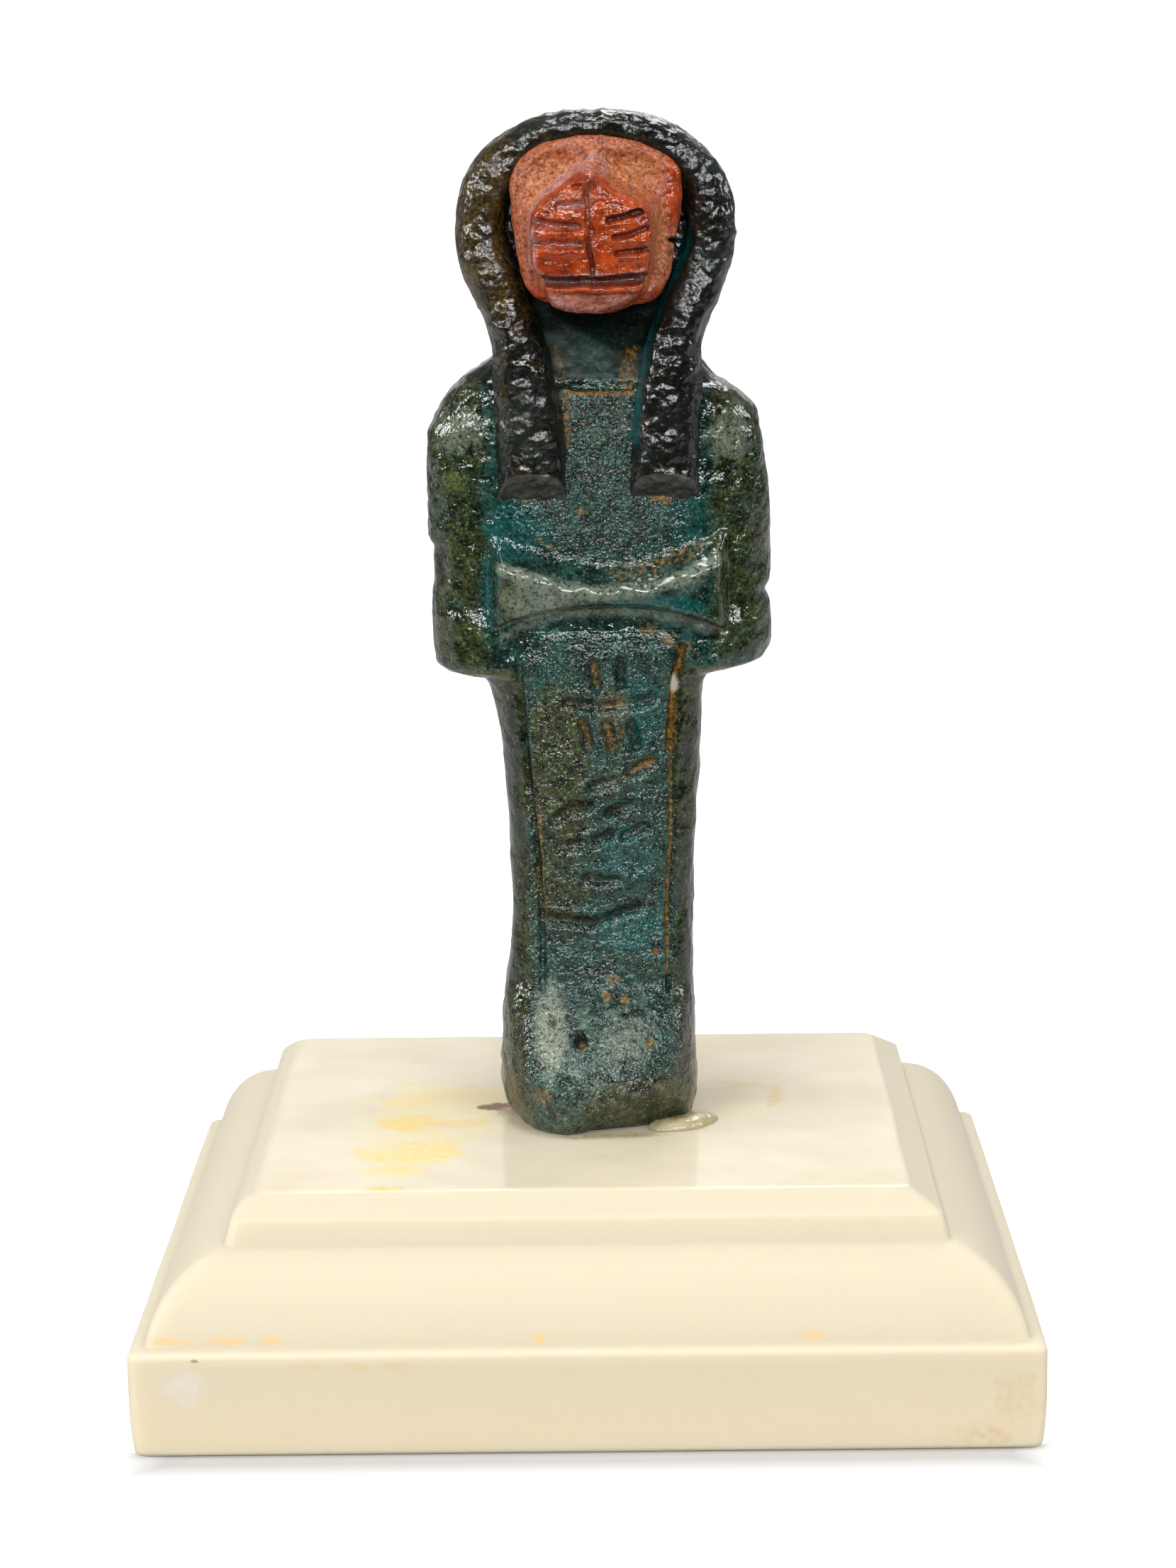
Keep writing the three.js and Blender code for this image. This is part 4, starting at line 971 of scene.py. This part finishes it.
def muzzle_relief(points):
    """Height on the muzzle's front: full cheeks either side of the philtrum, whisker grooves and the ridges
    between them, a nose knob, the mouth under an overhanging lip, and a chin that leans back."""
    x, z = points[..., 0], points[..., 2]
    front = step(-8.3, -9.4, points[..., 1])
    wander = 0.12 * lumps(points, 0.7, 60)
    relief = 0.26 * bell(x, -1.9, 1.2) * bell(z, 52.1, 2)
    relief = relief + 0.2 * bell(x, 1.8, 1.1) * bell(z, 51.6, 1.7)
    lines = groove(x + 2 * wander, z, PHILTRUM, 0.34, 0.13 + 0.1 * step(52.4, 51.4, z))
    lines = lines - 0.1 * bell(away(x, z, PHILTRUM), 0, 0.4)
    for line, width, depth in WHISKERS:
        lines = np.minimum(lines, groove(x, z + wander, line, width, depth))
    lines = np.minimum(lines, -0.25 * bell(x, -0.83, 0.28) * bell(z, 54.8, 0.13))
    lines = np.minimum(lines, groove(x, z + 0.5 * wander, MOUTH, 0.7, 0.65))
    for ridge_x, ridge_z, wide, high, height in RIDGES:
        far = ((x - ridge_x) / wide) ** 2 + ((z + wander - ridge_z) / high) ** 2
        relief = relief + height * np.exp(-far ** 1.3)
    chin = CHIN_LEAN * step(CHIN_TOP, CHIN_LOW, z)
    return (relief + lines - chin) * front


def red_paste():
    """Opaque red glass paste, like sealing wax: to the eye brick red with a soft gloss and fine dark and pale
    specks, dusty brown where it lies back, mauve-grey on rubbed edges and as painted highlight along the
    bridge and the lip, sandy ochre where the skin is gone, and painted shade in the grooves, the mouth and
    the pits."""
    material, tree, here = new_material("opaque_red_glassy_paste")
    rubbed_and_sheen, hollow, painted_shade, dust = (
        node(tree, "Attribute", out="Fac", attribute_name=mark)
        for mark in ("rubbed_and_sheen", "hollow", "painted_shade", "dust"))
    cloud = node(tree, "TexNoise", [here, apart(0.9), 6, 0.68])
    speck = node(tree, "TexNoise", [here, apart(0.2), 3, 0.7])
    colour = tinted(tree, "#7a2a10", "#b4481a", cloud, 0.38, 0.62)
    dusty = tinted(tree, "#74391f", "#b5663f", speck, 0.38, 0.6)
    sand = tinted(tree, "#8b4826", "#c47b4b", speck, 0.38, 0.6)
    mauve = tinted(tree, "#8d5750", "#c3938a", speck, 0.4, 0.6)
    for tint, weight, mark, low, high, most in (
        (dusty, 1.0, dust, 0.9, 1.5, 0.9), (sand, 1.2, hollow, 0.95, 1.5, 1),
        (mauve, 0.8, rubbed_and_sheen, 0.65, 1.35, 0.9),
    ):
        share = node(tree, "Math", [cloud, weight, mark], operation="MULTIPLY_ADD")
        colour = tinted(tree, colour, tint, share, low, high, most)
    colour = tinted(tree, colour, "#d69d76", speck, 0.64, 0.7, 0.8)
    colour = tinted(tree, colour, "#43150c", speck, 0.4, 0.3, 0.8)
    # Painted shade in the muzzle's grooves, the mouth and the pits.
    colour = tinted(tree, colour, "#3a1512", painted_shade, 0, 1, 0.8)
    matte = node(tree, "Math", [hollow, dust], operation="MAXIMUM")
    rough = node(tree, "MapRange", [matte, 0, 1, 0.15, 0.45])
    fibre = node(tree, "TexNoise", [here, apart(0.2), 1, 0.4])
    strength = node(tree, "MapRange", [hollow, 0, 1, 0.5, 1])
    grit = node(tree, "Math", [fibre, strength], operation="MULTIPLY")
    bump = node(tree, "Bump", {"Height": grit, "Distance": 0.1 * MM})
    knobs = node(tree, "TexNoise", [here, apart(0.7), 1, 0.4])
    bump = node(tree, "Bump", {"Height": knobs, "Distance": 0.12 * MM, "Normal": bump})
    shader = node(tree, "BsdfPrincipled", {
        "Base Color": colour, "Roughness": rough, "Normal": bump, "IOR": 1.5, "Specular IOR Level": 0.5,
    })
    node(tree, "OutputMaterial", {"Surface": shader})
    return material


rings = head_rings()
x, y, z = (rings[..., axis] for axis in range(3))
relief = muzzle_relief(rings)
on_face = step(-5.9, -6.3, y) * step(-8.4, -7.2, y)
on_front = step(-8.9, -9.6, y)
right_eye = blot(x, z, (2.2, 55.3), (1.9, 1.25))
left_eye = blot(x, z, (-2.2, 55.6), (1.3, 1.0))
worn_away = blots(x, z, (-3.3, 54.5, 0.8, 1.4, 0.8), (3.75, 51.6, 0.6, 2.4, 0.9), (0.4, 56.8, 3.2, 0.5, 0.45))
hollow = on_face * np.maximum.reduce([right_eye, left_eye, worn_away])
# Edges rubbed by handling, and painted highlight along the bridge and the lip's edge, as lines with a width,
# an amount and where on the head they count.
bridge = [(0.1, 56.6), (-0.6, 56.1), (-1.5, 55.35), (-2.4, 54.4), (-3.2, 53.6), (-3.55, 52.4), (-3.5, 50.4)]
off_front = (1 - on_front) * step(-6.4, -6.9, y)
rubbed_and_sheen = 0.75 * step(CHIN_TOP, CHIN_TOP - 0.2, z) * step(-8.3, -9.2, y)
for line, width, amount, where in (
    (bridge, 0.75, 1, off_front), ([(0.1, 56.6), (0.5, 56.2), (0.7, 55.6)], 0.5, 0.8, step(-6.4, -6.9, y)),
    (LIP_EDGE, 0.24, 1, on_front), (PHILTRUM, 0.45, 0.4, on_front), (MOUTH, 0.4, 0.9, on_front),
    ([(-3.4, 52.6), (-3.3, 50.3)], 0.25, 0.8, 1), (WHISKERS[0][0], 0.4, 0.7, on_front),
    (WHISKERS[1][0], 0.35, 0.7, on_front), (WHISKERS[2][0], 0.35, 0.7, on_front),
):
    rubbed_and_sheen = np.maximum(rubbed_and_sheen, amount * near(x, z, line, 0.2 * width, width) * where)
rubbed_and_sheen = np.clip(rubbed_and_sheen * (0.85 + 0.4 * lumps(rings, 0.5, 61)), 0, 1)
dust = (1 - on_front) * (1 - 0.8 * blot(x, z, (4.6, 54.3), (0.7, 2.2))) * (1 - 0.6 * step(49.4, 48.6, z))
dust = np.maximum(dust, 0.5 * blot(x, z, (-0.6, 54.3), (1.4, 0.5)))
texture = 0.06 * lumps(rings, 0.9, 62) + 0.04 * lumps(rings, 0.45, 63) + 0.012 * lumps(rings, 0.22, 64)
pitted = step(0.45, 0.75, lumps(rings, 0.42, 67)) * (0.5 + 0.5 * dust)
texture = texture + hollow * (0.07 * lumps(rings, 0.35, 65) + 0.04 * lumps(rings, 0.18, 66)) - 0.09 * pitted
sunk = on_face * (0.32 * right_eye + 0.25 * left_eye + 0.12 * blot(x, z, (3.8, 51.4), (0.5, 2)))
notch = 0.5 * blot(x, z, (4.5, 51.56), (0.5, 0.16))
# Painted shade in the muzzle's grooves, the right end of the mouth and the pits.
painted_shade = np.clip(-(relief + CHIN_LEAN * step(CHIN_TOP, CHIN_LOW, z)) / 0.3, 0, 1) * on_front
painted_shade = np.maximum(painted_shade, 0.9 * near(x, z, [(1.2, 49.64), (2.8, 49.72)], 0.05, 0.25) * on_front)
painted_shade = np.maximum(painted_shade, 0.7 * pitted)
rings[..., 1] += sunk - relief
rings = swell(rings, texture - notch)
marks = {"rubbed_and_sheen": rubbed_and_sheen, "hollow": np.clip(hollow, 0, 1), "painted_shade": painted_shade, "dust": dust}
head = closed_mesh("lioness_head", on_figure(rings), **marks)
head.data.materials.append(red_paste())
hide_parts("head")
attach(head, "root")

# The adhesive: what was squeezed out under the broken toe set as a low, clear, pale yellow mound.
BEAD_X, BEAD_Y, BEAD_LONG, BEAD_WIDE, BEAD_HEIGHT = 4.6, -4.1, 2.4, 1.4, 0.55
BEAD_FOOT = 0.02
BREAK_TURN = np.arctan2(4.3, 5.7)


def adhesive_mound(around=120, levels=40):
    """Ovals that shrink as a quarter circle up to the top of the mound, turned along the break."""
    a = np.linspace(0, np.pi / 2 * 0.97, levels)[:, None]
    turn = np.linspace(0, 2 * np.pi, around, endpoint=False)[None, :]
    along = BEAD_LONG * np.cos(a) ** 0.6 * np.cos(turn)
    across = BEAD_WIDE * np.cos(a) ** 0.6 * np.sin(turn)
    x = BEAD_X + along * np.cos(BREAK_TURN) - across * np.sin(BREAK_TURN)
    y = BEAD_Y + along * np.sin(BREAK_TURN) + across * np.cos(BREAK_TURN)
    return grid(x, y, BEAD_FOOT + (BEAD_HEIGHT - BEAD_FOOT) * np.sin(a))


def set_adhesive():
    """Hardened clear adhesive: to the eye a watery, pale yellow gloss that lets the plinth show through."""
    material, tree, here = new_material("hardened_clear_adhesive")
    wave = node(tree, "TexNoise", [here, apart(0.9), 3])
    colour = tinted(tree, "#e6dab4", "#d3c390", wave, 0.35, 0.65)
    bump = node(tree, "Bump", {"Height": wave, "Strength": 0.8, "Distance": 0.2 * MM})
    shader = node(tree, "BsdfPrincipled", {
        "Base Color": colour, "Roughness": 0.12, "Normal": bump, "IOR": 1.47, "Transmission Weight": 0.4,
        "Subsurface Weight": 0.3, "Subsurface Scale": 1.0 * MM, "Subsurface Radius": (1, 0.8, 0.4),
    })
    node(tree, "OutputMaterial", {"Surface": shader})
    return material


rings = adhesive_mound()
rings = swell(rings, 0.12 * lumps(rings, 1.3, 71) + 0.05 * lumps(rings, 0.5, 72))
rings[..., 2] = np.clip(rings[..., 2], BEAD_FOOT, BEAD_HEIGHT + 0.1)
bead = closed_mesh("adhesive_mound", on_figure(rings))
bead.data.materials.append(set_adhesive())
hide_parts("adhesive_bead")
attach(bead, "root")

# The studio: a white floor without end, softboxes in front, at both sides, behind and above, and a long lens
# that looks down on the figure by ten degrees.
FLOOR_REACH = 3.0
floor_mesh = bpy.data.meshes.new("studio_floor")
corners = [(x * FLOOR_REACH, y * FLOOR_REACH, 0) for x, y in ((-1, -1), (1, -1), (1, 1), (-1, 1))]
floor_mesh.from_pydata(corners, [], [(0, 1, 2, 3)])
floor = bpy.data.objects.new("studio_floor", floor_mesh)
scene = bpy.context.scene
scene.collection.objects.link(floor)
material, tree, here = new_material("white_floor")
across = node(tree, "SeparateXYZ", [here], out="X")
ahead = node(tree, "SeparateXYZ", [here], out="Y")
# The floor glows white but for a narrow strip before the plinth, where its contact shadow shows.
STRIP_START, STRIP_END, STRIP_NARROWER = 0.026, 0.0315, 0.003
across = node(tree, "Math", [across], operation="ABSOLUTE")
across = node(tree, "Math", [across, STRIP_NARROWER], operation="ADD")
forward = node(tree, "Math", [ahead, -1.0], operation="MULTIPLY")
outside = node(tree, "Math", [across, forward], operation="MAXIMUM")
glow = node(tree, "MapRange", [outside, STRIP_START, STRIP_END])
behind = node(tree, "MapRange", [ahead, -0.0243, -0.0236])
glow = node(tree, "Math", [glow, behind], operation="MAXIMUM")
# A black card lies in front of the figure, out of the picture, so that it mirrors no white.
card = node(tree, "MapRange", [ahead, -0.05, -0.09])
seen = node(tree, "LightPath", out="Is Camera Ray")
glow = node(tree, "Math", [glow, seen], operation="MULTIPLY")
paper = node(tree, "Mix", [card, "#bcbcbc", "#202020"], data_type="RGBA")
shader = node(tree, "BsdfPrincipled", {
    "Base Color": paper, "Roughness": 0.9, "Specular IOR Level": 0.0,
    "Emission Color": "#ffffff", "Emission Strength": glow,
})
node(tree, "OutputMaterial", {"Surface": shader})
floor.data.materials.append(material)

# The room is dark in front of the figure and bright behind it; the backdrop itself looks white.
world = bpy.data.worlds.new("studio")
world.use_nodes = True
tree = world.node_tree
tree.nodes.clear()
behind = node(tree, "SeparateXYZ", [node(tree, "TexCoord", out="Generated")], out="Y")
room = node(tree, "MapRange", [behind, -0.2, 0.8, 0.04, 0.25])
backdrop = node(tree, "MapRange", [behind, 0.9, 0.96, 0, 0.5])
room = node(tree, "Math", [room, backdrop], operation="ADD")
seen = node(tree, "LightPath", out="Is Camera Ray")
strength = node(tree, "Math", [room, seen], operation="MAXIMUM")
node(tree, "OutputWorld", {"Surface": node(tree, "Background", ["#ffffff", strength])})
scene.world = world


def soft_light(name, place, size, power):
    """A softbox at a place in metres, facing the figure's middle."""
    data = bpy.data.lights.new(name, "AREA")
    data.shape = "RECTANGLE"
    data.size, data.size_y = size
    data.energy = power
    light = bpy.data.objects.new(name, data)
    light.location = place
    from_figure = mathutils.Vector(place) - mathutils.Vector((0, 0, 0.04))
    light.rotation_euler = from_figure.to_track_quat("Z", "Y").to_euler()
    scene.collection.objects.link(light)


soft_light("key_left", (-0.29, -0.44, 0.32), (0.2, 0.2), 1.55)
soft_light("key_right", (0.25, -0.47, 0.3), (0.19, 0.19), 1.15)
soft_light("front", (0.02, -0.52, 0.21), (0.12, 0.12), 0.9)
soft_light("side_left", (-0.62, -0.1, 0.26), (0.2, 0.2), 1.7)
soft_light("side_right", (0.6, 0.05, 0.3), (0.2, 0.2), 1.1)
soft_light("behind", (0.1, 0.62, 0.5), (0.3, 0.3), 1.3)
soft_light("overhead", (0, -0.08, 0.7), (0.24, 0.2), 2.0)

# The camera was fitted to the plinth's corners in the photograph, in its own pixels and in metres.
PITCH, YAW, ROLL = np.radians((10.369, 0.405, -0.714))
CAMERA_PLACE = (0.00199, -0.24497, 0.07735)
FOCAL_PIXELS, PHOTO_HEIGHT = 5974, 2212
SENSOR = 36
camera_data = bpy.data.cameras.new("long_lens")
camera_data.sensor_width = SENSOR
camera_data.lens = SENSOR * FOCAL_PIXELS / PHOTO_HEIGHT
camera_data.clip_start = 0.02
camera = bpy.data.objects.new("long_lens", camera_data)
forward = np.array([-np.sin(YAW) * np.cos(PITCH), np.cos(YAW) * np.cos(PITCH), -np.sin(PITCH)])
level = np.array([np.cos(YAW), np.sin(YAW), 0])
upright = np.cross(level, forward)
right = np.cos(ROLL) * level + np.sin(ROLL) * upright
up = -np.sin(ROLL) * level + np.cos(ROLL) * upright
turned = np.stack([right, up, -forward, CAMERA_PLACE], 1)
camera.matrix_world = mathutils.Matrix((*turned, (0, 0, 0, 1)))
scene.collection.objects.link(camera)
scene.camera = camera
scene.view_settings.view_transform = "Standard"
